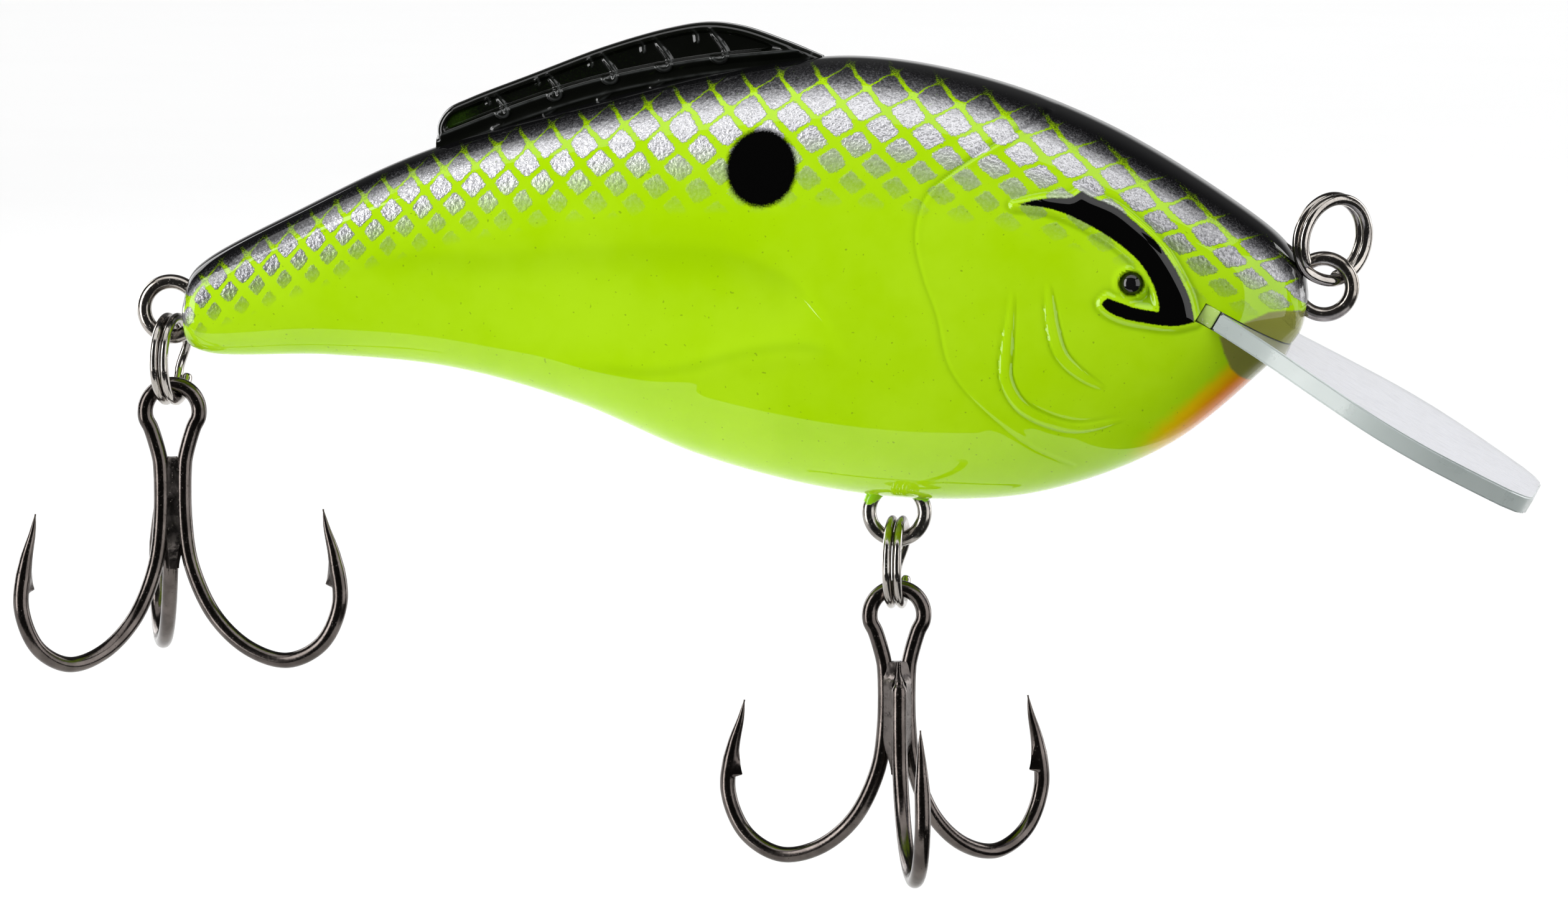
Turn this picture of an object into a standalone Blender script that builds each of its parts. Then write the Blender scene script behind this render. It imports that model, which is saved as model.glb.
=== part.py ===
"""Crankbait lure: two hollow half shells with a moulded back fin, a glued diving lip, wire hangers,
split rings, brazed treble hooks, bead eyes, a belly weight and three rattle balls.

Frame: metres, +X towards the nose, +Z up, starboard side at -Y.
The origin is the centre of the line-tie eye at the nose.
"""
import math

import bmesh
import bpy
import numpy as np
from mathutils import Matrix, Vector

MM = 0.001

# Body. The outlines lie in the seam plane (X, Z), in mm, and run from the tail to the nose.
TAIL_X = -77.1
NOSE_X = -1.07
BACK_OUTLINE = [
    (TAIL_X, -1.7), (-76.7, -0.1), (-75.6, 1.0), (-69.3, 4.4), (-60.8, 8.4), (-48.1, 12.2), (-40.0, 14.1),
    (-31.5, 15.1), (-22.9, 13.8), (-14.5, 10.7), (-6.2, 5.8), (-2.6, 3.0), (-1.3, 1.0), (NOSE_X, -0.4),
]
BELLY_OUTLINE = [
    (TAIL_X, -3.5), (-76.9, -4.7), (-75.6, -5.35), (-67.3, -5.4), (-58.7, -6.15), (-50.2, -8.4), (-41.8, -11.8),
    (-33.3, -13.9), (-25.9, -14.55), (-18.6, -13.9), (-10.3, -10.7), (-3.8, -5.4), (-1.6, -3.1), (NOSE_X, -1.2),
]
HALF_WIDTH = [
    (TAIL_X, 1.5), (-76.6, 2.2), (-74.5, 2.7), (-66.0, 3.5), (-56.0, 4.8), (-45.0, 6.7), (-34.0, 7.9),
    (-24.0, 8.1), (-15.0, 7.3), (-8.0, 5.8), (-3.5, 4.0), (-1.7, 2.3), (NOSE_X, 0.9),
]
SECTION_POWER = 2.3     # a section is a superellipse, a little squarer than an ellipse
SEAM_GAP = 0.04         # between the two half shells
INNER_GAP = 0.12        # from the seam plane to a rib; bosses and floors stand off by other shares of it,
PEG_BOSS_GAP = 1.3 * INNER_GAP      # so that no two of their faces lie in one plane
HANGER_BOSS_GAP = 1.7 * INNER_GAP
FLOOR_GAP = 2 * INNER_GAP
WALL = 1.3
SKIN_MARGIN = 0.35       # inner bosses stay this far inside the skin
CAVITY_X = (-68.5, -9.5)    # tail and head are solid beyond these

# Back fin, moulded in halves with the shells.
FIN_OUTLINE = [
    (-59.7, 8.0), (-59.75, 9.9), (-59.0, 11.35), (-57.5, 12.1), (-53.5, 13.65), (-48.1, 15.7), (-43.9, 16.9),
    (-41.3, 17.3), (-39.0, 17.05), (-36.1, 16.1), (-33.6, 15.1), (-33.4, 13.8), (-41.5, 13.1), (-50.5, 10.7),
]
FIN_HALF_THICKNESS = 1.05
FIN_EDGE_ROUND = 0.35
FIN_RAYS = [(-56.1, 12.3), (-52.6, 13.8), (-48.9, 15.1), (-45.2, 16.2), (-41.5, 16.9)]
FIN_RAY_RUN = (1.0, -2.2)   # from a ray's top end to its lower end
PANEL_DEPTH = 0.28
PANEL_RIM = 0.75            # from the fin's edge to a sunk panel
PANEL_FOOT_RISE = (0.35, 0.1)   # a panel's rear and front foot corners above the ends of its rays
RAY_HALF_WIDTH = 0.3

# Diving lip: a flat plate in a slot across the head, sloping down and forward.
LIP_SLOPE = math.radians(30.3)
LIP_TOP_ROOT = (-6.3, -1.4)     # X, Z of the top face at the back edge
LIP_THICKNESS = 1.25
LIP_HALF_OUTLINE = [(0.0, 5.7), (4.0, 6.9), (8.0, 8.9), (12.5, 10.7), (16.0, 10.6), (19.5, 9.1), (22.3, 7.4)]
LIP_END = [(23.4, 6.1), (23.9, 4.6)]
LIP_EDGE_ROUND = 0.15
SLOT_CLEARANCE = 0.12
ADHESIVE_LENGTH = 1.0

# Wire hangers: figure-of-eight wires with one eye outside and one held in the shells.
HANGER_WIRE = 0.98
HANGER_RING = 1.87      # wire centre to eye centre
LINE_TIE_EYE = (0.0, 0.0)
BELLY_EYE = (-28.6, -15.5)
TAIL_EYE = (-78.15, -2.45)
POCKET_CLEARANCE = 0.12
BELLY_BOSS = 3.1

# Split rings: two flat coils of wire.
RING_PITCH_RADIUS = 2.75
RING_WIRE = (0.80, 0.62)    # radial and axial size
RING_COIL_GAP = 0.05
RING_STEP_START = math.radians(298)
RING_STEP_END = math.radians(352)
NOSE_RING_OFFSET = 3.2      # ring centre from eye centre
BELLY_RING_OFFSET = 3.4
NOSE_RING_TURN = math.radians(46)
NOSE_RING_LEAN = math.radians(10)
TAIL_RING_TURN = math.radians(-6.5)

# Treble hooks. Heights are below the centre of the wire at the top of the eye.
HOOK_WIRE = 1.07
HOOK_FROM_RING = 1.75       # eye top wire below the ring centre
EYE_HALF_WIDTH = 1.83
EYE_NECK = -4.9
SHANK_RADIUS = 0.93
SINGLE_TOP = -6.2
HOOK_CURVE = [
    (SHANK_RADIUS, -9.2), (1.45, -12.4), (3.2, -15.8), (5.8, -17.9), (8.6, -18.5), (11.1, -17.2), (12.4, -14.4),
    (12.05, -11.4), (11.45, -9.3), (11.2, -8.1),
]
POINT_TAPER = 4.2           # length of the sharpened point
BARB_BACK = 5.2             # barb tip below the point
BARB_LENGTH = 1.7
BARB_STAND = 0.62
BARB_UNDERCUT = 0.55        # the barb's foot on the wire above its tip
BARB_HALF_THICKNESS = 0.16
BRAZE_TOP = -6.0
BRAZE_BOTTOM = -12.6
BRAZE_GAP = 0.06
BRAZE_PROFILE = [   # height, and size compared with the full space between the shanks
    (BRAZE_TOP, 0.8), (BRAZE_TOP - 0.6, 1.0), (BRAZE_BOTTOM + 2.6, 1.0), (BRAZE_BOTTOM, 0.45),
]
BRAZE_ARC_HALF = math.radians(88)
BELLY_SINGLE_ANGLE = math.radians(-75)      # plan direction of the brazed single hook
TAIL_SINGLE_ANGLE = math.radians(107)

# Bead eyes.
BEAD_CENTRE = (-12.2, 0.6)
BEAD_RADIUS = 0.8
BEAD_DEPTH = 0.95
BEAD_STAND = 0.35
BEAD_CLEARANCE = 0.08
BEAD_DOME = [(1.0, 0.2), (0.8, 0.7), (0.45, 0.95)]      # share of the radius, share of the stand

# Inside the body.
WEIGHT_CENTRE = (-20.0, -8.2)
WEIGHT_RADIUS = 2.5
WEIGHT_HALF_LENGTH = 3.6
WEIGHT_SOCKET_WALL = 0.9
BALL_RADIUS = 2.2
BALL_X = (-46.0, -41.4, -36.8)
BALL_Z = 2.2
CHAMBER_X = (-51.5, -31.0)
RIB = 0.9
PEGS = [(-62.0, 1.0), (-26.0, 9.4), (-13.0, 4.8)]
PEG_RADIUS = 0.8
PEG_BOSS = 1.7
PEG_REACH = 1.6
PEG_ROOT = 1.0              # how far a peg runs back into its boss
PEG_END_GAP = 0.2
SOCKET_INNER_END = 1.9      # the weight's sockets stop this far from the seam plane
BELLY_BOSS_REACH = 2.0
FLOOR_BELOW_BALLS = 0.15

SLIVER = 0.003      # points closer than this after a cut are one point

MATERIALS = {
    "painted_shell": ((0.42, 0.76, 0.01, 1), 0.15, 0.0),
    "clear_polycarbonate": ((0.75, 0.78, 0.82, 1), 0.08, 0.0),
    "clear_adhesive": ((0.65, 0.72, 0.45, 1), 0.15, 0.0),
    "steel_wire": ((0.55, 0.52, 0.48, 1), 0.2, 1.0),
    "nickel_ring": ((0.48, 0.44, 0.40, 1), 0.18, 1.0),
    "black_nickel": ((0.06, 0.05, 0.045, 1), 0.22, 1.0),
    "braze": ((0.05, 0.045, 0.04, 1), 0.35, 1.0),
    "black_bead": ((0.01, 0.01, 0.01, 1), 0.05, 0.0),
    "ballast": ((0.30, 0.30, 0.31, 1), 0.5, 1.0),
    "rattle_steel": ((0.6, 0.6, 0.6, 1), 0.15, 1.0),
}


def clear_scene():
    for old in list(bpy.data.objects):
        bpy.data.objects.remove(old, do_unlink=True)


def material(name):
    found = bpy.data.materials.get(name)
    if found:
        return found
    colour, roughness, metallic = MATERIALS[name]
    made = bpy.data.materials.new(name)
    made.use_nodes = True
    shader = made.node_tree.nodes["Principled BSDF"]
    shader.inputs["Base Color"].default_value = colour
    shader.inputs["Roughness"].default_value = roughness
    shader.inputs["Metallic"].default_value = metallic
    return made


def new_object(name, mesh, finish=None, place=None):
    made = bpy.data.objects.new(name, mesh)
    bpy.context.scene.collection.objects.link(made)
    if finish:
        made.data.materials.append(material(finish))
    if place is not None:
        made.matrix_world = place
    return made


def mesh_from(name, points, faces):
    """A closed mesh from points in mm, with its faces turned outwards."""
    shape = bmesh.new()
    corners = [shape.verts.new(Vector(point) * MM) for point in points]
    for face in faces:
        shape.faces.new([corners[index] for index in face])
    bmesh.ops.recalc_face_normals(shape, faces=shape.faces)
    bmesh.ops.triangulate(shape, faces=shape.faces)
    mesh = bpy.data.meshes.new(name)
    shape.to_mesh(mesh)
    shape.free()
    return mesh


def smooth_object(made, angle=math.radians(40)):
    made.data.shade_smooth()
    made.data.set_sharp_from_angle(angle=angle)


def combine(target, tool, operation):
    """Applies one exact Boolean to the target and removes the tool."""
    step = target.modifiers.new("combine", "BOOLEAN")
    step.operation = operation
    step.solver = "EXACT"
    step.object = tool
    bpy.context.view_layer.update()
    graph = bpy.context.evaluated_depsgraph_get()
    mesh = bpy.data.meshes.new_from_object(target.evaluated_get(graph))
    shape = bmesh.new()
    shape.from_mesh(mesh)
    bmesh.ops.remove_doubles(shape, verts=shape.verts, dist=SLIVER * MM)
    bmesh.ops.dissolve_degenerate(shape, edges=shape.edges, dist=SLIVER * MM)
    shape.to_mesh(mesh)
    shape.free()
    target.modifiers.clear()
    target.data = mesh
    bpy.data.objects.remove(tool, do_unlink=True)


def curve_through(points, steps):
    """A Catmull-Rom curve through the points, with so many steps between each pair."""
    points = np.asarray(points, float)
    ends = np.vstack([2 * points[0] - points[1], points, 2 * points[-1] - points[-2]])
    gaps = np.sqrt(np.linalg.norm(np.diff(ends, axis=0), axis=1))
    knots = np.concatenate([[0.0], np.cumsum(gaps)])
    found = []
    for index in range(1, len(ends) - 2):
        a, b, c, d = ends[index - 1:index + 3]
        ta, tb, tc, td = knots[index - 1:index + 3]
        for step in range(steps):
            t = tb + (tc - tb) * step / steps
            ab = (a * (tb - t) + b * (t - ta)) / (tb - ta)
            bc = (b * (tc - t) + c * (t - tb)) / (tc - tb)
            cd = (c * (td - t) + d * (t - tc)) / (td - tc)
            abc = (ab * (tc - t) + bc * (t - ta)) / (tc - ta)
            bcd = (bc * (td - t) + cd * (t - tb)) / (td - tb)
            found.append((abc * (tc - t) + bcd * (t - tb)) / (tc - tb))
    found.append(points[-1])
    return np.array(found)


def read_curve(points, steps=8):
    """A function of X from outline points whose X only grows."""
    curve = curve_through(points, steps)
    along = np.maximum.accumulate(curve[:, 0])
    return lambda x: float(np.interp(x, along, curve[:, 1]))


BACK = read_curve(BACK_OUTLINE)
BELLY = read_curve(BELLY_OUTLINE)
SIDE = read_curve(HALF_WIDTH)


def signed_power(value, power):
    return math.copysign(abs(value) ** power, value)


def section_point(x, angle, inset=0.0):
    """A point of the body's section at X; the angle is 0 at the back and pi at the belly."""
    top = BACK(x) - inset
    bottom = BELLY(x) + inset
    middle = (top + bottom) / 2
    across = (SIDE(x) - inset) * signed_power(math.sin(angle), 2 / SECTION_POWER)
    up = (top - bottom) / 2 * signed_power(math.cos(angle), 2 / SECTION_POWER)
    return across, middle + up


def surface_half_width(x, z):
    """How far the body's surface stands from the seam plane at X, Z."""
    middle = (BACK(x) + BELLY(x)) / 2
    half = (BACK(x) - BELLY(x)) / 2
    share = min(1.0, abs((z - middle) / half))
    return SIDE(x) * (1 - share ** SECTION_POWER) ** (1 / SECTION_POWER)


def clear_reach(centre, radius):
    """How far a rod along Y at this centre may reach and stay inside the skin all round."""
    turns = [math.pi * i / 8 for i in range(16)]
    edge = [surface_half_width(centre[0] + radius * math.cos(turn), centre[1] + radius * math.sin(turn))
            for turn in turns]
    return min(edge) - SKIN_MARGIN


def body_stations():
    """X positions of the sections: even along the body, and closer towards both ends."""
    tail_straight, nose_straight = -74.5, -6.0
    tail_steps, body_steps, nose_steps = 4, 29, 8
    tail = [tail_straight + (TAIL_X - tail_straight) * (1 - (1 - i / tail_steps) ** 2)
            for i in range(tail_steps, 0, -1)]
    body = [tail_straight + (nose_straight - tail_straight) * i / body_steps for i in range(body_steps + 1)]
    nose = [nose_straight + (NOSE_X - nose_straight) * (1 - (1 - i / nose_steps) ** 2)
            for i in range(1, nose_steps + 1)]
    return tail + body + nose


def loft(name, rings):
    """A closed solid through rings of equal length."""
    count = len(rings[0])
    points = [point for ring in rings for point in ring]
    faces = []
    for i in range(len(rings) - 1):
        for j in range(count):
            k = (j + 1) % count
            faces.append((i * count + j, i * count + k, (i + 1) * count + k, (i + 1) * count + j))
    faces.append(tuple(range(count)))
    faces.append(tuple(range((len(rings) - 1) * count, len(rings) * count)))
    return mesh_from(name, points, faces)


def outer_half(name, side):
    around = 15
    rings = []
    for x in body_stations():
        ring = []
        for j in range(around + 1):
            across, up = section_point(x, math.pi * j / around)
            ring.append((x, side * (SEAM_GAP / 2 + max(across - SEAM_GAP / 2, 0.0)), up))
        rings.append(ring)
    return new_object(name, loft(name, rings), "painted_shell")


def cavity():
    around, along = 14, 18
    start, end = CAVITY_X
    rings = []
    for i in range(along + 1):
        x = start + (end - start) * i / along
        ring = []
        for j in range(around):
            across, up = section_point(x, 2 * math.pi * j / around, WALL)
            ring.append((x, across, up))
        rings.append(ring)
    return new_object("cavity", loft("cavity", rings))


def prism(name, outline, low, high, bevel=0.0):
    """An outline in X, Z drawn out along Y from low to high. The bevel is on the edges at the high end."""
    shape = bmesh.new()
    near = [shape.verts.new(Vector((x, low, z)) * MM) for x, z in outline]
    far = [shape.verts.new(Vector((x, high, z)) * MM) for x, z in outline]
    count = len(outline)
    for i in range(count):
        k = (i + 1) % count
        shape.faces.new((near[i], near[k], far[k], far[i]))
    shape.faces.new(near)
    outer = shape.faces.new(far)
    if bevel:
        bmesh.ops.bevel(shape, geom=list(outer.edges), offset=bevel * MM, segments=1, affect="EDGES")
    bmesh.ops.recalc_face_normals(shape, faces=shape.faces)
    mesh = bpy.data.meshes.new(name)
    shape.to_mesh(mesh)
    shape.free()
    return new_object(name, mesh)


def rod(name, centre, radius, low, high, sides=16):
    """A round rod along Y."""
    turns = [2 * math.pi * (i + 0.3) / sides for i in range(sides)]
    outline = [(centre[0] + radius * math.cos(turn), centre[1] + radius * math.sin(turn)) for turn in turns]
    return prism(name, outline, min(low, high), max(low, high))


def block(name, low, high):
    """A box between two corners."""
    outline = [(low[0], low[2]), (high[0], low[2]), (high[0], high[2]), (low[0], high[2])]
    return prism(name, outline, min(low[1], high[1]), max(low[1], high[1]))


def rib_wall(x, side):
    """A cross wall of the shell, sunk half way into its outer wall."""
    around = 10
    rings = []
    for station in (x, x + RIB):
        ring = []
        for j in range(around + 1):
            across, up = section_point(station, math.pi * j / around, WALL / 2)
            ring.append((station, side * max(across, INNER_GAP), up))
        rings.append(ring)
    return new_object("rib", loft("rib", rings))


def fin_half(side):
    curve = curve_through(FIN_OUTLINE[:11], 3)
    outline = [tuple(point) for point in curve] + FIN_OUTLINE[11:]
    near, far = side * INNER_GAP / 2, side * FIN_HALF_THICKNESS
    if side < 0:
        outline = outline[::-1]
    return prism("fin", outline, near, far, FIN_EDGE_ROUND)


def fin_panel(left, right, side):
    """The sunk panel between two fin rays."""
    top_left = (left[0] + RAY_HALF_WIDTH, left[1] - PANEL_RIM)
    top_right = (right[0] - RAY_HALF_WIDTH, right[1] - PANEL_RIM)
    foot_left = (left[0] + FIN_RAY_RUN[0] + RAY_HALF_WIDTH, left[1] + FIN_RAY_RUN[1] + PANEL_FOOT_RISE[0])
    foot_right = (right[0] + FIN_RAY_RUN[0] - RAY_HALF_WIDTH, right[1] + FIN_RAY_RUN[1] + PANEL_FOOT_RISE[1])
    outline = [top_left, top_right, foot_right, foot_left]
    clear = side * (FIN_HALF_THICKNESS + 1)
    return prism("panel", outline, side * (FIN_HALF_THICKNESS - PANEL_DEPTH), clear)


def lip_frame():
    """Local X runs down the lip from its back edge, and local Z stands on its top face."""
    root = Vector((LIP_TOP_ROOT[0], 0, LIP_TOP_ROOT[1])) * MM
    return Matrix.Translation(root) @ Matrix.Rotation(LIP_SLOPE, 4, "Y")


def lip_plate():
    curve = [tuple(point) for point in curve_through(LIP_HALF_OUTLINE, 3)] + LIP_END
    outline = curve + [(x, -y) for x, y in reversed(curve)]
    shape = bmesh.new()
    corners = [shape.verts.new(Vector((x, y, 0)) * MM) for x, y in outline]
    top = shape.faces.new(corners)
    drawn = bmesh.ops.extrude_face_region(shape, geom=[top])
    moved = [item for item in drawn["geom"] if isinstance(item, bmesh.types.BMVert)]
    bmesh.ops.translate(shape, verts=moved, vec=Vector((0, 0, -LIP_THICKNESS)) * MM)
    rims = [edge for edge in shape.edges if abs(edge.verts[0].co.z - edge.verts[1].co.z) < 1e-6]
    bmesh.ops.bevel(shape, geom=rims, offset=LIP_EDGE_ROUND * MM, segments=1, affect="EDGES")
    bmesh.ops.recalc_face_normals(shape, faces=shape.faces)
    mesh = bpy.data.meshes.new("diving_lip")
    shape.to_mesh(mesh)
    shape.free()
    return new_object("diving_lip", mesh, "clear_polycarbonate", lip_frame())


def lip_slot():
    """The cutter of the slot, from behind the adhesive to past the nose."""
    back = -ADHESIVE_LENGTH - 2 * SLOT_CLEARANCE
    low = (back, -20.0, -LIP_THICKNESS - SLOT_CLEARANCE)
    high = (30.0, 20.0, SLOT_CLEARANCE)
    made = block("slot", low, high)
    made.matrix_world = lip_frame()
    return made


def adhesive_strip():
    """The glue line behind the lip's back edge, as wide as the head is there."""
    front = -SLOT_CLEARANCE
    back = front - ADHESIVE_LENGTH
    reach = surface_half_width(LIP_TOP_ROOT[0] - 0.5, LIP_TOP_ROOT[1]) + 0.1
    made = block("lip_adhesive", (back, -reach, -LIP_THICKNESS + 0.02), (front, reach, -0.02))
    made.data.materials.append(material("clear_adhesive"))
    made.matrix_world = lip_frame()
    return made


def torus(name, centre, wire_radius, around=20, sides=8):
    """A ring of round wire lying in the X, Z plane."""
    points, faces = [], []
    for i in range(around):
        turn = 2 * math.pi * i / around
        for j in range(sides):
            roll = 2 * math.pi * (j + 0.5) / sides
            out = HANGER_RING + wire_radius * math.cos(roll)
            points.append((centre[0] + out * math.cos(turn), wire_radius * math.sin(roll),
                           centre[1] + out * math.sin(turn)))
    for i in range(around):
        for j in range(sides):
            k, m = (i + 1) % around, (j + 1) % sides
            faces.append((i * sides + j, i * sides + m, k * sides + m, k * sides + j))
    return new_object(name, mesh_from(name, points, faces))


def hanger_centres(eye, inward):
    reach = 2 * HANGER_RING
    return eye, (eye[0] + reach * math.cos(inward), eye[1] + reach * math.sin(inward))


HANGERS = {
    "line_tie_hanger": (LINE_TIE_EYE, math.radians(167)),
    "belly_hanger": (BELLY_EYE, math.radians(90)),
    "tail_hanger": (TAIL_EYE, 0.0),
}


def hanger(name):
    outer, inner = hanger_centres(*HANGERS[name])
    made = torus(name, outer, HANGER_WIRE / 2)
    combine(made, torus("inner", inner, HANGER_WIRE / 2, 18), "UNION")
    made.data.materials.clear()
    made.data.materials.append(material("steel_wire"))
    smooth_object(made)
    return made


def hanger_pocket(name):
    outer, inner = hanger_centres(*HANGERS[name])
    size = HANGER_WIRE / 2 + POCKET_CLEARANCE
    pocket = torus("pocket", inner, size, 18)
    combine(pocket, torus("mouth", outer, size), "UNION")
    return pocket


def add_peg(made, side, centre):
    """A boss on each shell. The port one carries a peg that fits into the starboard one."""
    boss = rod("boss", centre, PEG_BOSS, side * PEG_BOSS_GAP, side * clear_reach(centre, PEG_BOSS))
    combine(made, boss, "UNION")
    if side < 0:
        hole = rod("hole", centre, PEG_RADIUS + 2 * SEAM_GAP, 1.0, side * (PEG_REACH + PEG_END_GAP))
        combine(made, hole, "DIFFERENCE")
    else:
        combine(made, rod("peg", centre, PEG_RADIUS, -PEG_REACH, PEG_ROOT, 12), "UNION")


def shell(name, side):
    made = outer_half(name, side)
    combine(made, cavity(), "DIFFERENCE")
    combine(made, fin_half(side), "UNION")
    for left, right in zip(FIN_RAYS[:-1], FIN_RAYS[1:]):
        combine(made, fin_panel(left, right, side), "DIFFERENCE")
    for x in (CHAMBER_X[0], CHAMBER_X[1] - RIB):
        combine(made, rib_wall(x, side), "UNION")
    floor_top = BALL_Z - BALL_RADIUS - FLOOR_BELOW_BALLS
    floor_reach = surface_half_width(CHAMBER_X[0], floor_top) - WALL / 2
    combine(made, block("floor", (CHAMBER_X[0] + RIB / 2, side * FLOOR_GAP, floor_top - RIB),
                        (CHAMBER_X[1] - RIB / 2, side * floor_reach, floor_top)), "UNION")
    boss_centre = hanger_centres(*HANGERS["belly_hanger"])[1]
    boss = rod("boss", boss_centre, BELLY_BOSS, side * HANGER_BOSS_GAP, side * BELLY_BOSS_REACH)
    combine(made, boss, "UNION")
    socket_wall = clear_reach(WEIGHT_CENTRE, WEIGHT_RADIUS + WEIGHT_SOCKET_WALL)
    combine(made, rod("socket", WEIGHT_CENTRE, WEIGHT_RADIUS + WEIGHT_SOCKET_WALL, side * SOCKET_INNER_END,
                      side * socket_wall), "UNION")
    combine(made, rod("bore", WEIGHT_CENTRE, WEIGHT_RADIUS + SLOT_CLEARANCE, side * SOCKET_INNER_END / 2,
                      side * (WEIGHT_HALF_LENGTH + SLOT_CLEARANCE)), "DIFFERENCE")
    for centre in PEGS:
        add_peg(made, side, centre)
    for hanger_name in HANGERS:
        combine(made, hanger_pocket(hanger_name), "DIFFERENCE")
    combine(made, lip_slot(), "DIFFERENCE")
    stand = surface_half_width(*BEAD_CENTRE)
    hole_floor = stand - BEAD_DEPTH - BEAD_CLEARANCE
    combine(made, rod("bead_hole", BEAD_CENTRE, BEAD_RADIUS + BEAD_CLEARANCE, side * hole_floor,
                      side * (stand + 2)), "DIFFERENCE")
    made.data.materials.clear()
    made.data.materials.append(material("painted_shell"))
    smooth_object(made, math.radians(35))
    return made


def bead_eye(name, side):
    """A short stub with a domed front, turned about Y."""
    stand = surface_half_width(*BEAD_CENTRE)
    profile = [(BEAD_RADIUS, -BEAD_DEPTH)]
    profile += [(BEAD_RADIUS * across, BEAD_STAND * out) for across, out in BEAD_DOME]
    sides = 14
    rings = []
    for radius, out in profile:
        rings.append([(BEAD_CENTRE[0] + radius * math.cos(2 * math.pi * i / sides), side * (stand + out),
                       BEAD_CENTRE[1] + radius * math.sin(2 * math.pi * i / sides)) for i in range(sides)])
    made = new_object(name, loft(name, rings), "black_bead")
    smooth_object(made)
    return made


def sweep(name, path, sizes, up, sides=8):
    """A wire along a path. Each size is the wire's half sizes along its up vector and across it."""
    path = [Vector(point) for point in path]
    tangents = []
    for i in range(len(path)):
        ahead = path[min(i + 1, len(path) - 1)]
        behind = path[max(i - 1, 0)]
        tangents.append((ahead - behind).normalized())
    rings = []
    for point, tangent, (first, second), side in zip(path, tangents, sizes, up):
        side = (side - tangent * side.dot(tangent)).normalized()
        other = tangent.cross(side)
        rings.append([tuple(point + side * (first * math.cos(2 * math.pi * (k + 0.5) / sides))
                            + other * (second * math.sin(2 * math.pi * (k + 0.5) / sides)))
                      for k in range(sides)])
    return loft(name, rings)


def split_ring(name, place):
    """Two coils about local Z. The wire steps from one coil to the other between its two ends."""
    per_turn = 22
    end = 2 * math.pi + RING_STEP_START - math.radians(6)
    count = int(per_turn * end / (2 * math.pi))
    shift = (RING_WIRE[1] + RING_COIL_GAP) / 2
    path, up = [], []
    for i in range(count + 1):
        turn = end * i / count
        share = min(1.0, max(0.0, (turn - RING_STEP_START) / (RING_STEP_END - RING_STEP_START)))
        height = shift * (2 * share * share * (3 - 2 * share) - 1)
        path.append((RING_PITCH_RADIUS * math.cos(turn), RING_PITCH_RADIUS * math.sin(turn), height))
        up.append(Vector((math.cos(turn), math.sin(turn), 0)))
    corner = 1 / math.cos(math.pi / 8)
    sizes = [(RING_WIRE[0] / 2 * corner, RING_WIRE[1] / 2 * corner)] * len(path)
    made = new_object(name, sweep(name, path, sizes, up), "nickel_ring", place)
    smooth_object(made)
    return made


def ring_place(eye, offset, axis_turn, lean=0.0, start=0.0):
    """Ring centre below (or above) its eye; the ring's own axis is turned about Z from +X."""
    about_eye = Matrix.Translation(Vector((eye[0], 0, eye[1])) * MM) @ Matrix.Rotation(lean, 4, "Y")
    centre = Matrix.Translation(Vector((0, 0, offset)) * MM)
    axis = Matrix.Rotation(axis_turn, 4, "Z") @ Matrix.Rotation(math.pi / 2, 4, "Y")
    return about_eye @ centre @ axis @ Matrix.Rotation(start, 4, "Z")


def hook_plane(angle, radius, height):
    return (radius * math.cos(angle), radius * math.sin(angle), height)


def hook_arm(angle, steps=3):
    """Points of one hook from its shank to its point, with the wire's half size at each."""
    curve = curve_through(HOOK_CURVE, steps)
    lengths = np.concatenate([[0.0], np.cumsum(np.linalg.norm(np.diff(curve, axis=0), axis=1))])
    points, sizes = [], []
    for (radius, height), length in zip(curve, lengths):
        left = lengths[-1] - length
        share = min(1.0, left / POINT_TAPER)
        size = HOOK_WIRE / 2 * max(0.1, share ** 0.7)
        points.append(hook_plane(angle, radius, height))
        sizes.append((size, size))
    return points, sizes


def barb(angle, axis):
    """A wedge raised on the inner side of the point."""
    curve = curve_through(HOOK_CURVE, 8)
    rising = curve[np.argmax(curve[:, 0]):]
    tip_height = HOOK_CURVE[-1][1] - BARB_BACK
    foot_height = tip_height + BARB_UNDERCUT
    head_height = tip_height + BARB_LENGTH
    tip, foot, head = np.interp((tip_height, foot_height, head_height), rising[:, 1], rising[:, 0])
    outline = [(tip - HOOK_WIRE / 2 - BARB_STAND, tip_height), (foot, foot_height), (head, head_height)]
    across = Vector((-math.sin(angle), math.cos(angle), 0))
    points = []
    for half in (-BARB_HALF_THICKNESS, BARB_HALF_THICKNESS):
        for radius, height in outline:
            points.append(tuple(Vector(hook_plane(angle, radius, height)) + across * half + axis))
    faces = [(0, 1, 2), (5, 4, 3), (0, 3, 4, 1), (1, 4, 5, 2), (2, 5, 3, 0)]
    return mesh_from("barb", points, faces)


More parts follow.
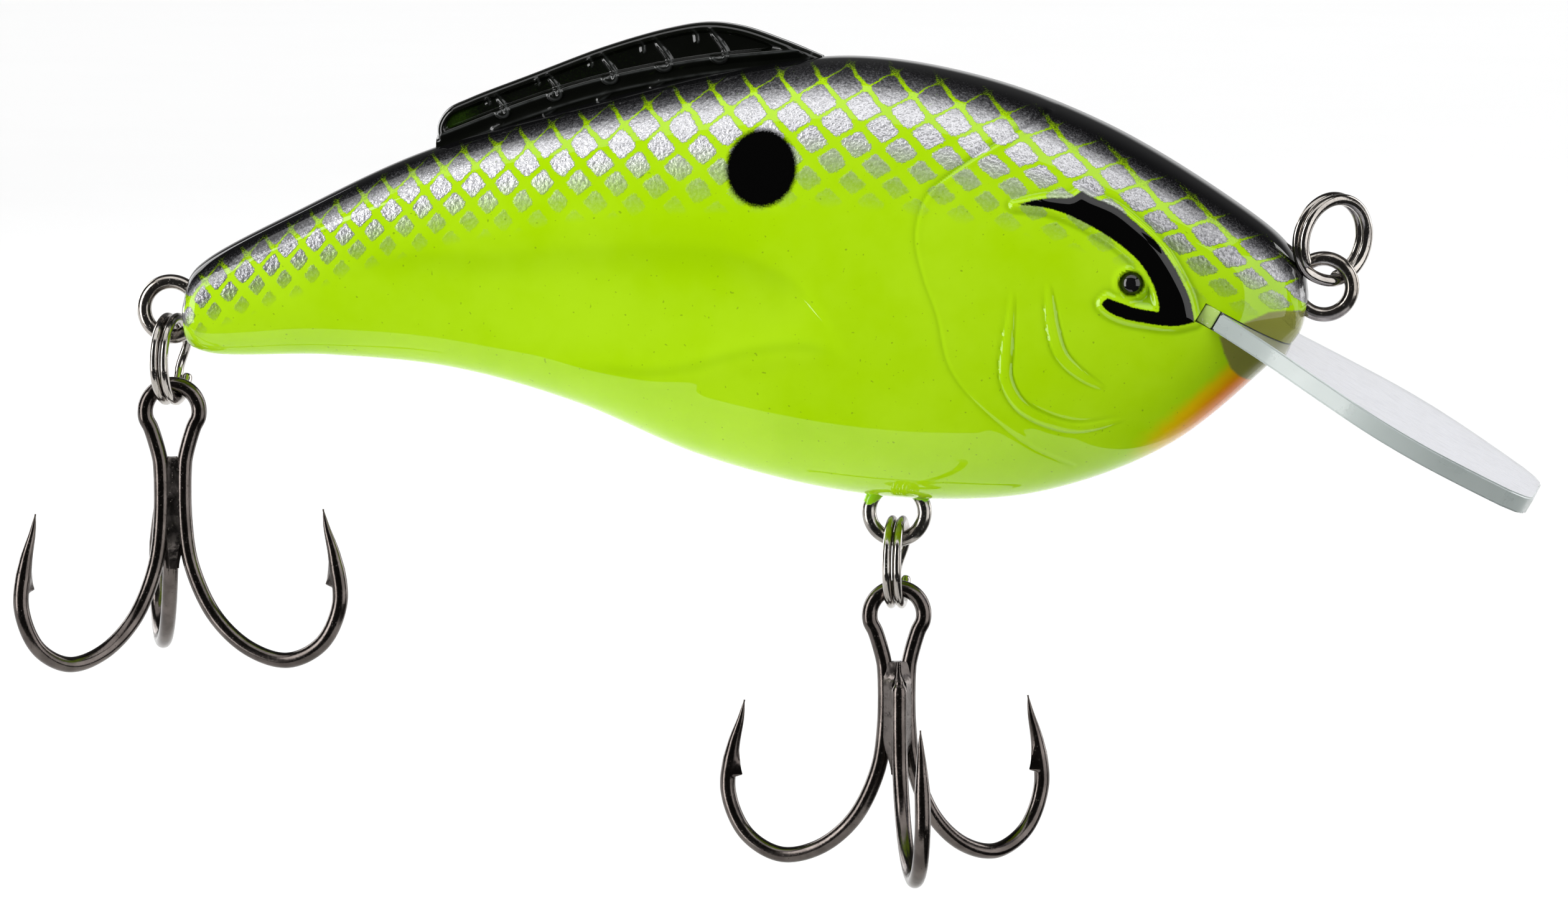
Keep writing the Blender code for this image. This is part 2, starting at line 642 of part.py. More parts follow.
def treble(prefix, single_angle, place):
    """A double hook bent from one wire with its eye, a single hook, and the braze between them.

    Local Z is up and the eye's top wire is at the origin; the hooks' common axis stands off the eye's plane.
    """
    axis = Vector(hook_plane(single_angle, SHANK_RADIUS / 2, 0))
    first, second = single_angle + math.radians(120), single_angle - math.radians(120)
    arm_first, sizes = hook_arm(first)
    arm_second, _ = hook_arm(second)
    shank_half = SHANK_RADIUS * math.sin(math.radians(60))
    across = Vector((-math.sin(single_angle), math.cos(single_angle), 0))
    eye_centre = -EYE_HALF_WIDTH
    half_loop = [(shank_half, EYE_NECK - 0.6), (shank_half + 0.1, EYE_NECK + 0.1)]
    for degrees in (-38, -12, 14, 40, 65, 90):
        turn = math.radians(degrees)
        half_loop.append((EYE_HALF_WIDTH * math.cos(turn), eye_centre + EYE_HALF_WIDTH * math.sin(turn)))
    loop = half_loop + [(-x, z) for x, z in reversed(half_loop[:-1])]
    wires = [Vector(point) + axis for point in reversed(arm_first)]
    start = len(wires)
    wires += [across * x + Vector((0, 0, z)) for x, z in loop]
    wires += [Vector(point) + axis for point in arm_second]
    half = HOOK_WIRE / 2
    all_sizes = list(reversed(sizes)) + [(half, half)] * len(loop) + sizes
    facing = Vector((math.cos(single_angle), math.sin(single_angle), 0))
    up = []
    for index in range(len(wires)):
        if index < start:
            up.append(Vector((-math.sin(first), math.cos(first), 0)))
        elif index < start + len(loop):
            up.append(-facing)
        else:
            up.append(-Vector((-math.sin(second), math.cos(second), 0)))
    double = new_object(prefix + "_double_hook", sweep("double", wires, all_sizes, up))
    for angle in (first, second):
        combine(double, new_object("barb", barb(angle, axis)), "UNION")
    single_points, single_sizes = hook_arm(single_angle)
    top = hook_plane(single_angle, SHANK_RADIUS, SINGLE_TOP)
    single_wires = [Vector(top) + axis] + [Vector(point) + axis for point in single_points]
    single_up = [Vector((-math.sin(single_angle), math.cos(single_angle), 0))] * len(single_wires)
    single = new_object(prefix + "_single_hook",
                        sweep("single", single_wires, [(half, half)] + single_sizes, single_up))
    combine(single, new_object("barb", barb(single_angle, axis)), "UNION")
    braze = braze_core(prefix + "_braze", single_angle, axis)
    for made, finish in ((double, "black_nickel"), (single, "black_nickel"), (braze, "braze")):
        made.data.materials.clear()
        made.data.materials.append(material(finish))
        made.matrix_world = place
        smooth_object(made)


def braze_core(name, single_angle, axis):
    """The metal between the three shanks: hollowed along each of them and tapered at both ends."""
    clear = HOOK_WIRE / 2 + BRAZE_GAP
    arc_steps = 6
    rings = []
    for height, scale in BRAZE_PROFILE:
        ring = []
        for k in range(3):
            wire = single_angle + k * math.radians(120)
            for step in range(arc_steps + 1):
                roll = wire + math.pi + BRAZE_ARC_HALF * (1 - 2 * step / arc_steps)
                x = SHANK_RADIUS * math.cos(wire) + clear * math.cos(roll)
                y = SHANK_RADIUS * math.sin(wire) + clear * math.sin(roll)
                ring.append((scale * x + axis.x, scale * y + axis.y, height))
        rings.append(ring)
    return new_object(name, loft(name, rings))


def ballast():
    centre = WEIGHT_CENTRE
    made = rod("belly_weight", centre, WEIGHT_RADIUS, -WEIGHT_HALF_LENGTH, WEIGHT_HALF_LENGTH, 20)
    made.data.materials.append(material("ballast"))
    smooth_object(made)


def rattle_ball(name, x):
    shape = bmesh.new()
    bmesh.ops.create_icosphere(shape, subdivisions=2, radius=BALL_RADIUS * MM)
    mesh = bpy.data.meshes.new(name)
    shape.to_mesh(mesh)
    shape.free()
    made = new_object(name, mesh, "rattle_steel", Matrix.Translation(Vector((x, 0, BALL_Z)) * MM))
    smooth_object(made, math.radians(60))


def main():
    clear_scene()
    shell("shell_starboard", -1)
    shell("shell_port", 1)
    lip_plate()
    adhesive_strip()
    for name in HANGERS:
        hanger(name)
    split_ring("nose_split_ring",
               ring_place(LINE_TIE_EYE, NOSE_RING_OFFSET, NOSE_RING_TURN - math.pi / 2, NOSE_RING_LEAN,
                          math.radians(20)))
    split_ring("belly_split_ring", ring_place(BELLY_EYE, -BELLY_RING_OFFSET, 0.0, 0.0, math.radians(130)))
    split_ring("tail_split_ring",
               ring_place(TAIL_EYE, -BELLY_RING_OFFSET, TAIL_RING_TURN, 0.0, math.radians(130)))
    for prefix, eye, angle in (("belly_treble", BELLY_EYE, BELLY_SINGLE_ANGLE),
                               ("tail_treble", TAIL_EYE, TAIL_SINGLE_ANGLE)):
        top = eye[1] - BELLY_RING_OFFSET - HOOK_FROM_RING
        treble(prefix, angle, Matrix.Translation(Vector((eye[0], 0, top)) * MM))
    bead_eye("eye_starboard", -1)
    bead_eye("eye_port", 1)
    ballast()
    for number, x in enumerate(BALL_X, 1):
        rattle_ball(f"rattle_ball_{number}", x)


main()
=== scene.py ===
"""Looks of the crankbait lure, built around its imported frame.

Lengths are in mm unless a name says otherwise. +X is towards the nose, +Z is up, starboard is at -Y.
"""

import math

import bmesh
import bpy
import numpy as np
from mathutils import Matrix, Vector


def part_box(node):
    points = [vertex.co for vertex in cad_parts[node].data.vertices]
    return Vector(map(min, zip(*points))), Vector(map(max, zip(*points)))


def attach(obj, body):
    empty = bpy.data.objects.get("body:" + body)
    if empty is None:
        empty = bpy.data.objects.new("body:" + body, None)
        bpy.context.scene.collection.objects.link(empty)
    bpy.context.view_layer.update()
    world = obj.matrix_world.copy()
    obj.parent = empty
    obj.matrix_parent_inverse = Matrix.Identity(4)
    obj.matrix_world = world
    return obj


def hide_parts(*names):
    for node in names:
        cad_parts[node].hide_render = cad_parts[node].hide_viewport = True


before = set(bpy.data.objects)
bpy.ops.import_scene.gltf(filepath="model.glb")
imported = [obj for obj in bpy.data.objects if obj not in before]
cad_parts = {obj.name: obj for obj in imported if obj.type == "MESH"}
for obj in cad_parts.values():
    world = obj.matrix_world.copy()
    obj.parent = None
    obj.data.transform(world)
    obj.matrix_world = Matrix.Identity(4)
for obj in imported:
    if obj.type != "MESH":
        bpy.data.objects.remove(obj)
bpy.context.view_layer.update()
MM = 0.001
HALVES = (("starboard", -1), ("port", 1))  # and the side of Y they are on

# Body outlines in the seam plane, from the tail to the nose.
TAIL_X, NOSE_X = -77.1, -1.07
BACK_OUTLINE = [
    (TAIL_X, -1.7), (-76.7, -0.1), (-75.6, 1.0), (-69.3, 4.4), (-60.8, 8.4), (-48.1, 12.2), (-40.0, 14.1),
    (-31.5, 15.1), (-22.9, 13.8), (-14.5, 10.7), (-6.2, 5.8), (-2.6, 3.0), (-1.3, 1.0), (NOSE_X, -0.4),
]
BELLY_OUTLINE = [
    (TAIL_X, -3.5), (-76.9, -4.7), (-75.6, -5.35), (-67.3, -5.4), (-58.7, -6.15), (-50.2, -8.4), (-41.8, -11.8),
    (-33.3, -13.9), (-25.9, -14.55), (-18.6, -13.9), (-10.3, -10.7), (-3.8, -5.4), (-1.6, -3.1), (NOSE_X, -1.2),
]
HALF_WIDTH = [
    (TAIL_X, 1.5), (-76.6, 2.2), (-74.5, 2.7), (-66.0, 3.5), (-56.0, 4.8), (-45.0, 6.7), (-34.0, 7.9),
    (-24.0, 8.1), (-15.0, 7.3), (-8.0, 5.8), (-3.5, 4.0), (-1.7, 2.3), (NOSE_X, 0.9),
]
SECTION_POWER = 2.3
SEAM_HALF_GAP = 0.02
AROUND = 240  # steps of a half section
SKIN_SHARP = 50  # a sharper fold between faces, in degrees, stays a hard edge
STATION_STEPS = [(TAIL_X, -74.5, 0.1), (-74.5, -27.5, 0.3), (-27.5, -7.0, 0.13), (-7.0, NOSE_X, 0.1)]

# Relief of the flanks, as curves in X, Z.
GILL_CREASE = [
    (-18.3, 11.6), (-21.0, 10.0), (-24.1, 7.9), (-25.6, 6.6), (-26.2, 5.3), (-26.45, 3.4), (-25.9, 0.9),
    (-25.0, -1.6), (-24.3, -4.75), (-23.2, -6.6), (-20.9, -8.9), (-18.8, -10.5), (-16.3, -11.8),
]
REAR_CRESCENT = [
    (-19.9, 0.0), (-20.3, -3.6), (-20.4, -5.7), (-19.6, -7.4), (-18.2, -8.4), (-15.9, -9.05), (-12.7, -8.5),
]
FRONT_CRESCENT = [(-17.6, 0.6), (-17.3, -2.3), (-16.7, -4.2), (-15.4, -5.5), (-13.9, -6.4)]
BROW_OUTER = [(-19.9, 5.75), (-17.9, 6.15), (-16.2, 6.2), (-15.6, 6.6)]
BROW_FRONT = [
    (-15.6, 6.6), (-15.0, 6.25), (-13.3, 5.5), (-11.8, 4.35), (-10.55, 3.2), (-9.7, 2.05), (-9.0, 0.85),
    (-8.45, -0.35), (-8.1, -1.95),
]
BROW_FOOT = [
    (-8.1, -1.95), (-9.4, -2.2), (-11.2, -2.0), (-12.75, -1.65), (-13.75, -1.15), (-14.1, -0.7), (-13.75, -0.3),
]
BROW_ARM = [(-13.75, -0.3), (-12.9, -0.62), (-12.0, -0.95), (-10.4, -1.25)]
BROW_INNER = [
    (-10.4, -1.25), (-10.4, -0.9), (-10.7, 0.3), (-11.5, 1.75), (-12.5, 2.75), (-13.8, 3.7), (-15.9, 4.85),
    (-17.7, 5.5), (-19.9, 5.75),
]
BROW_POCKET = (-11.25, -0.1)
RECESS_TOP = [
    (-68.5, 0.8), (-64.9, 1.7), (-61.6, 2.5), (-54.7, 2.8), (-50.9, 3.4), (-46.2, 3.8), (-41.6, 3.8),
    (-38.75, 3.3), (-36.4, 2.3), (-34.1, 0.8), (-32.8, -1.0), (-31.5, -3.0), (-30.3, -4.4),
]
RECESS_FOOT = [
    (-68.5, -3.6), (-60.0, -4.2), (-50.6, -5.9), (-47.2, -6.1), (-44.2, -6.15), (-41.6, -5.7), (-38.75, -4.9),
    (-36.0, -4.3), (-33.6, -4.2), (-31.3, -4.8), (-29.8, -6.0),
]
# How far the relief stands out of the flank or cuts into it.
RECESS_SINK = 0.55
RECESS_RIDGE = 0.10
CREASE_CUT, CREASE_LIP, CREASE_SWELL = 0.15, 0.07, 0.03
CRESCENT_STAND, CRESCENT_CUT = 0.11, 0.07
BROW_STEP, BROW_DOME, BROW_MOAT = 0.24, 0.18, 0.05
POCKET_SINK = 0.16
COLLAR_STAND, SOCKET_SINK = 0.16, 0.45
CRESCENT_HALF_WIDTH = 0.38

# Paint.
NET_KNOTS = [-70.0, -40.0, -17.0, -3.0]
NET_DOWN_ANGLE = math.radians(46)  # lines that run down towards the nose
NET_UP_ANGLES = [52.0, 39.0, 21.0, 14.0]  # lines that run up towards the nose, in degrees
NET_DOWN_DENSITY = [0.41, 0.349, 0.397, 0.42]  # lines per mm of height
NET_UP_DENSITY = [0.50, 0.39, 0.51, 0.55]
NET_ANCHOR = (-34.7, 12.6)  # a crossing of two lines
NET_REFERENCE_DEPTH = 3.0  # below the back, where the lines keep their angles
NET_REACH = 8.0  # the net's depth, as a reach
# Knots: net depth along X, foil by reach, foil tone by reach and along X, depth of the black back along X.
NET_DEPTH = [(-76, 4.3), (-66, 5.2), (-50, 6.3), (-37, 8.0), (-25, 8.0), (-15, 7.0), (-8, 6.5), (-3, 5.0)]
FOIL_BY_REACH = [(0, 1), (4.8, 1), (6.2, 0.62), (7.8, 0.28), (9.6, 0)]
TONE_BY_REACH = [(0.8, 0.10), (1.7, 0.34), (2.9, 0.95), (4.4, 0.95), (8, 0.35)]
# The foil is darker towards the tail and the head; towards the head this is painted shade.
TONE_ALONG = [(-75, 0.45), (-66, 0.66), (-54, 0.95), (-20, 1.0), (-8, 0.55)]
BACK_DEPTH = [(-77, 1.3), (-60, 1.05), (-45, 1.0), (-30, 0.85), (-12, 1.6), (-2, 1.2)]
SPOT_CENTRE = (-36.8, 8.0)
SPOT_SIZE = (2.42, 2.58)
BARE_UPPER = [(-5.0, -2.1), (-4.1, -1.75), (-3.3, -1.4), (-2.4, -1.35), (-0.6, -1.6), (-0.6, -4.5), (-3.95, -3.6)]
BARE_LOWER = [(-6.5, -2.9), (-6.2, -4.1), (-5.8, -5.2), (-5.3, -5.8), (-4.6, -6.3), (-2.6, -6.3), (-2.6, -3.6)]

# Back fin.
FIN_FOOT = [(-59.7, 7.2), (-50.5, 10.4), (-41.5, 12.8), (-33.4, 13.8)]
FIN_TOP = [
    (-59.75, 9.4), (-59.65, 10.4), (-59.0, 11.35), (-57.5, 12.1), (-53.5, 13.65), (-48.1, 15.7), (-43.9, 16.9),
    (-41.3, 17.3), (-39.0, 17.05), (-36.1, 16.1), (-33.6, 15.1),
]
FIN_BASE_LINE = [(-59.4, 9.6), (-54.0, 11.7), (-49.0, 13.3), (-42.0, 14.75), (-35.2, 15.5)]
FIN_HALF_THICKNESS = 1.05
FIN_EDGE_ROUND = 0.45
FIN_COLUMNS, FIN_ROWS = 640, 90
FIN_FIELD_SINK, FIN_BAND_SINK, FIN_BEAD_STAND = 0.34, 0.10, 0.06
FIN_LOWER_BEAD = 0.95  # below the base line
FIN_RAYS = [
    (-55.2, 10.95, 1.35), (-51.65, 12.15, 1.6), (-47.9, 13.3, 1.8), (-44.25, 14.2, 1.95), (-40.5, 14.8, 2.1),
]  # foot X, foot Z, height
FIN_RAY = [(-0.30, 1.0), (-0.17, 0.8), (0.08, 0.5), (0.22, 0.25), (0.17, 0.06), (0.0, 0.0), (-0.15, 0.07)]
FIN_RAY_SPUR = [(-0.85, 0.92), (-0.76, 0.8), (-0.73, 0.6)]
FIN_RAY_NOTCH = [(-0.03, -0.42), (-0.2, -0.55), (-0.4, -0.68)]
FIN_RAY_PARTS = [(FIN_RAY, 0.20), (FIN_RAY_SPUR, 0.12), (FIN_RAY_NOTCH, 0.10)]  # outline in ray heights, and stand

# Diving lip and its slot.
LIP_SLOPE = math.radians(30.3)
LIP_TOP_ROOT = (-6.3, -1.4)
LIP_THICKNESS = 1.25
LIP_BEVEL = 0.12
RIM_FACING = 0.9  # faces turned further than this cosine from the plate's normal are its rim
LIP_HALF_OUTLINE = [(0.0, 5.7), (4.0, 6.9), (8.0, 8.9), (12.5, 10.7), (16.0, 10.6), (19.5, 9.1), (22.3, 7.4)]
LIP_END = [(23.4, 6.1), (23.9, 4.6)]
ADHESIVE_LENGTH = 1.0
SLOT_CLEARANCE = 0.12

# Wire hangers and split rings.
WIRE_SIDES = 24
EYE_STEPS, RING_STEPS, PAIR_STEPS, SINGLE_STEPS = 110, 230, 900, 460  # along each kind of wire
HANGER_WIRE = 0.98
HANGER_RING = 1.87
LINE_TIE_EYE = (0.0, 0.0)
BELLY_EYE = (-28.6, -15.5)
BELLY_PAINT_EDGE = -14.1  # Z down to which the belly hanger has paint on it
TAIL_EYE = (-78.15, -2.45)
RING_PITCH_RADIUS = 2.75
RING_WIRE = (0.80, 0.62)
RING_COIL_GAP = 0.05
RING_STEP = (math.radians(298), math.radians(352))  # where the first coil steps over to the second
RING_TAIL = math.radians(6)  # how far before the step the second coil ends
NOSE_RING_OFFSET = 3.2
HOOK_RING_OFFSET = 3.4
NOSE_RING_TURN = math.radians(46)
NOSE_RING_LEAN = math.radians(10)
TAIL_RING_TURN = math.radians(-6.5)

# Treble hooks.
HOOK_WIRE = 1.07
HOOK_FROM_RING = 1.75
EYE_HALF_WIDTH = 1.83
EYE_TURNS = (-38, -12, 14, 40, 65, 90)  # degrees round the half eye, from its neck to its top
EYE_NECK = -4.9
SHANK_RADIUS = 0.93
SINGLE_TOP = -6.2
HOOK_CURVE = [
    (SHANK_RADIUS, -9.2), (1.45, -12.4), (3.2, -15.8), (5.8, -17.9), (8.6, -18.5), (11.1, -17.2), (12.4, -14.4),
    (12.05, -11.4), (11.45, -9.3), (11.2, -8.1),
]
POINT_TAPER = 4.2
BARB_BACK = 5.2
BARB_LENGTH = 1.7
BARB_STAND = 0.62
BRAZE_TOP, BRAZE_BOTTOM = -4.95, -12.6
BRAZE_STEPS = 34
BRAZE_TOUCH = 0.03  # how far the braze stays inside the outer side of each shank
THIRD = math.radians(120)
BELLY_SINGLE_ANGLE = math.radians(-75)
TAIL_SINGLE_ANGLE = math.radians(107)

BEAD_CENTRE = (-12.2, 0.6)
BEAD_RADIUS = 0.72
BEAD_STAND = 0.35
BEAD_AROUND, BEAD_DOME_STEPS = 48, 13

# Camera and floor, in metres where the name ends in _M.
CAMERA_AZIMUTH = math.radians(8.0)
CAMERA_ELEVATION = math.radians(6.0)
CAMERA_DISTANCE_M = 0.6
CAMERA_TARGET = (-36.25, 0.0, -12.2)
LENS, SENSOR_WIDTH = 205.0, 36.0
FLOOR_HEIGHT = -75.0
FLOOR_OUTLINE_M = [(-4.0, -0.06), (-0.005, -0.06), (0.02, 0.1), (4.0, 0.1), (4.0, 5.0), (-4.0, 5.0)]
WORLD_FILL, WORLD_SEEN = 0.20, 0.98  # strength for diffuse rays and for the camera
WORLD_MIRRORED, WORLD_BACKDROP, WORLD_OVERHEAD = 0.03, 0.85, 0.12  # in reflections: camera side, behind, above
SOFTBOXES = [  # name, place and size in metres, power in watts
    ("top_softbox", (-0.05, -0.31, 0.90), (1.7, 0.6), 5.4),
    ("left_strip", (-0.72, -0.46, 0.10), (0.35, 0.9), 5.7),
    ("right_strip", (0.78, -0.36, 0.12), (0.8, 0.9), 4.4),
    ("rear_left_strip", (-0.70, 0.50, 0.15), (0.35, 0.8), 3.0),
    ("rear_right_strip", (0.70, 0.50, 0.15), (0.35, 0.8), 3.0),
]
LIGHTS_AIM = (-0.036, 0.0, 0.0)


# ---------------------------------------------------------------- curves and fields

def curve_through(points, steps):
    """A Catmull-Rom curve through the points, with so many steps between each pair."""
    points = np.asarray(points, float)
    ends = np.vstack([2 * points[0] - points[1], points, 2 * points[-1] - points[-2]])
    gaps = np.sqrt(np.linalg.norm(np.diff(ends, axis=0), axis=1))
    knots = np.concatenate([[0.0], np.cumsum(gaps)])
    found = []
    for index in range(1, len(ends) - 2):
        a, b, c, d = ends[index - 1:index + 3]
        ta, tb, tc, td = knots[index - 1:index + 3]
        for step in range(steps):
            t = tb + (tc - tb) * step / steps
            ab = (a * (tb - t) + b * (t - ta)) / (tb - ta)
            bc = (b * (tc - t) + c * (t - tb)) / (tc - tb)
            cd = (c * (td - t) + d * (t - tc)) / (td - tc)
            abc = (ab * (tc - t) + bc * (t - ta)) / (tc - ta)
            bcd = (bc * (td - t) + cd * (t - tb)) / (td - tb)
            found.append((abc * (tc - t) + bcd * (t - tb)) / (tc - tb))
    found.append(points[-1])
    return np.array(found)


def read_curve(points, steps=60):
    """A function of X from outline points whose X only grows."""
    curve = curve_through(points, steps)
    along = np.maximum.accumulate(curve[:, 0])
    return lambda x: np.interp(x, along, curve[:, 1])


BACK = read_curve(BACK_OUTLINE)
BELLY = read_curve(BELLY_OUTLINE)
SIDE = read_curve(HALF_WIDTH)


def ease(value, low=0.0, high=1.0):
    """A smooth step from 0 at low to 1 at high."""
    share = np.clip((value - low) / (high - low), 0.0, 1.0)
    return share * share * (3 - 2 * share)


def hill(value, width):
    """A bell of height 1 about 0."""
    return np.exp(-(value / width) ** 2)


def at_knots(value, knots):
    """Straight lines between knots of value and result."""
    knots = np.asarray(knots, float)
    return np.interp(value, knots[:, 0], knots[:, 1])


def near_curve(curve, x, z):
    """Distance to a curve, the share of its length there, and that distance signed by side."""
    curve = np.asarray(curve, float)
    steps = np.diff(curve, axis=0)
    lengths = np.hypot(steps[:, 0], steps[:, 1])
    before = np.concatenate([[0.0], np.cumsum(lengths)])
    nearest = np.full(x.shape, np.inf)
    along = np.zeros(x.shape)
    side = np.zeros(x.shape)
    for start, step, length, travelled in zip(curve[:-1], steps, lengths, before):
        dx, dz = x - start[0], z - start[1]
        share = np.clip((dx * step[0] + dz * step[1]) / length ** 2, 0, 1)
        away = np.hypot(dx - share * step[0], dz - share * step[1])
        closer = away < nearest
        nearest = np.where(closer, away, nearest)
        along = np.where(closer, travelled + share * length, along)
        side = np.where(closer, np.sign(step[0] * dz - step[1] * dx), side)
    return nearest, along / before[-1], nearest * side


def inside_depth(outline, x, z):
    """Distance to a closed outline, positive inside it."""
    outline = np.asarray(outline, float)
    closed = np.vstack([outline, outline[:1]])
    nearest = near_curve(closed[np.r_[True, np.any(np.diff(closed, axis=0) != 0, axis=1)]], x, z)[0]
    inside = np.zeros(x.shape, bool)
    for (ax, az), (bx, bz) in zip(closed[:-1], closed[1:]):
        if az == bz:
            continue
        crosses = (az > z) != (bz > z)
        inside ^= crosses & (x < ax + (z - az) * (bx - ax) / (bz - az))
    return np.where(inside, nearest, -nearest)


def surface_half_width(x, z):
    """How far the smooth body stands from the seam plane at X, Z."""
    middle = (BACK(x) + BELLY(x)) / 2
    half = (BACK(x) - BELLY(x)) / 2
    share = np.minimum(1.0, np.abs((z - middle) / half))
    return SIDE(x) * (1 - share ** SECTION_POWER) ** (1 / SECTION_POWER)


# ---------------------------------------------------------------- meshes

def linked(name, data):
    """A new object in the scene."""
    made = bpy.data.objects.new(name, data)
    bpy.context.scene.collection.objects.link(made)
    return made


def new_piece(name, mesh, finish, body, node):
    """Links a mesh as a piece that rides on a body and stands for a CAD node."""
    made = linked(name, mesh)
    mesh.materials.clear()
    mesh.materials.append(finish)
    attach(made, body)
    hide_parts(node)
    return made


def grid_mesh(name, points, faces, fields=None, sharp_angle=60.0):
    """A smooth-shaded closed mesh from points in mm, with its faces turned outwards."""
    mesh = bpy.data.meshes.new(name)
    mesh.from_pydata((np.asarray(points, float) * MM).tolist(), [], faces)
    for field, values in (fields or {}).items():
        mesh.attributes.new(field, "FLOAT", "POINT").data.foreach_set("value", np.asarray(values, np.float32))
    shape = bmesh.new()
    shape.from_mesh(mesh)
    bmesh.ops.recalc_face_normals(shape, faces=shape.faces)
    shape.to_mesh(mesh)
    shape.free()
    mesh.shade_smooth()
    mesh.set_sharp_from_angle(angle=math.radians(sharp_angle))
    return mesh


def tube_faces(rings, count, closed=False):
    """Faces between rings of equal length, and over both ends unless the tube is closed."""
    faces = []
    for i in range(rings if closed else rings - 1):
        here, there = i * count, (i + 1) % rings * count
        for j in range(count):
            k = (j + 1) % count
            faces.append((here + j, here + k, there + k, there + j))
    if not closed:
        faces.append(tuple(range(count)))
        faces.append(tuple(range((rings - 1) * count, rings * count)))
    return faces


def mesh_of(name, shape):
    """The mesh of a bmesh, which is freed."""
    mesh = bpy.data.meshes.new(name)
    shape.to_mesh(mesh)
    shape.free()
    return mesh


def cut(target, tool, operation="DIFFERENCE"):
    """Applies one exact Boolean and removes its tool."""
    step = target.modifiers.new("cut", "BOOLEAN")
    step.operation = operation
    step.solver = "EXACT"
    step.object = tool
    bpy.context.view_layer.update()
    graph = bpy.context.evaluated_depsgraph_get()
    mesh = bpy.data.meshes.new_from_object(target.evaluated_get(graph))
    target.modifiers.clear()
    target.data = mesh
    bpy.data.objects.remove(tool, do_unlink=True)


# ---------------------------------------------------------------- node materials

def smooth_range(nodes, links, value, low, high, start, end):
    """A smooth step of the value from start at low to end at high."""
    node = nodes.new("ShaderNodeMapRange")
    node.interpolation_type = "SMOOTHSTEP"
    for socket, given in zip(node.inputs, (value, low, high, start, end)):
        if isinstance(given, bpy.types.NodeSocket):
            links.new(given, socket)
        else:
            socket.default_value = given
    return node.outputs[0]


class Finish:
    """Builds one node material step by step."""

    def __init__(self, name):
        self.material = bpy.data.materials.new(name)
        self.material.use_nodes = True
        self.nodes = self.material.node_tree.nodes
        self.links = self.material.node_tree.links
        self.shader = self.nodes["Principled BSDF"]
        self.place = self.nodes.new("ShaderNodeTexCoord").outputs["Object"]

    def feed(self, socket, value):
        """Links an output, or sets a number or a colour."""
        if isinstance(value, bpy.types.NodeSocket):
            self.links.new(value, socket)
        else:
            socket.default_value = (*value, 1) if isinstance(value, tuple) else value

    def set(self, **values):
        """Sets or links shader sockets, named with _ for each space."""
        for name, value in values.items():
            self.feed(self.shader.inputs[name.replace("_", " ")], value)

    def field(self, name):
        """A float attribute of the mesh's points."""
        node = self.nodes.new("ShaderNodeAttribute")
        node.attribute_name = name
        return node.outputs["Fac"]

    def math(self, operation, first, second=0.0):
        node = self.nodes.new("ShaderNodeMath")
        node.operation = operation
        self.feed(node.inputs[0], first)
        self.feed(node.inputs[1], second)
        return node.outputs[0]

    def times(self, first, second):
        return self.math("MULTIPLY", first, second)

    def plus(self, first, second):
        return self.math("ADD", first, second)

    def minus(self, first, second):
        return self.math("SUBTRACT", first, second)

    def ramp(self, value, low, high, start=0.0, end=1.0):
        """A smooth step of the value from start at low to end at high."""
        return smooth_range(self.nodes, self.links, value, low, high, start, end)

    def mix(self, share, first, second):
        """The first colour at share 0, the second at 1."""
        node = self.nodes.new("ShaderNodeMix")
        node.data_type = "RGBA"
        self.feed(node.inputs["Factor"], share)
        self.feed(node.inputs[6], first)
        self.feed(node.inputs[7], second)
        return node.outputs[2]

    def noise(self, size, detail=2.0, roughness=0.5, stretch=None):
        """Noise whose blobs are about size mm wide."""
        node = self.nodes.new("ShaderNodeTexNoise")
        node.inputs["Scale"].default_value = 1 / (size * MM)
        node.inputs["Detail"].default_value = detail
        node.inputs["Roughness"].default_value = roughness
        place = self.place
        if stretch:
            mapping = self.nodes.new("ShaderNodeMapping")
            mapping.inputs["Scale"].default_value = stretch
            self.links.new(place, mapping.inputs["Vector"])
            place = mapping.outputs[0]
        self.links.new(place, node.inputs["Vector"])
        return node.outputs["Fac"]

    def axis(self, index):
        """Object X, Y or Z in metres."""
        node = self.nodes.new("ShaderNodeSeparateXYZ")
        self.links.new(self.place, node.inputs[0])
        return node.outputs[index]

    def bump(self, height, depth, under=None):
        """Bump of so many mm."""
        node = self.nodes.new("ShaderNodeBump")
        node.inputs["Distance"].default_value = depth * MM
        self.feed(node.inputs["Height"], height)
        if under is not None:
            self.links.new(under, node.inputs["Normal"])
        return node.outputs[0]


CHARTREUSE = (0.47, 0.80, 0.010)
CHARTREUSE_DEEP = (0.42, 0.74, 0.0)
YELLOW = (0.85, 0.58, 0.0)
ORANGE = (1.0, 0.25, 0.0)
OLIVE = (0.26, 0.27, 0.05)
# Painted shade for the relief's creases, grooves and recesses.
FOLD_SHADE = (0.17, 0.37, 0.0)
DUST = (0.10, 0.20, 0.01)
BLACK = (0.004, 0.004, 0.0045)
INK = (0.001, 0.001, 0.001)
SILVER = (0.76, 0.76, 0.79)
SILVER_DARK = (0.06, 0.06, 0.065)


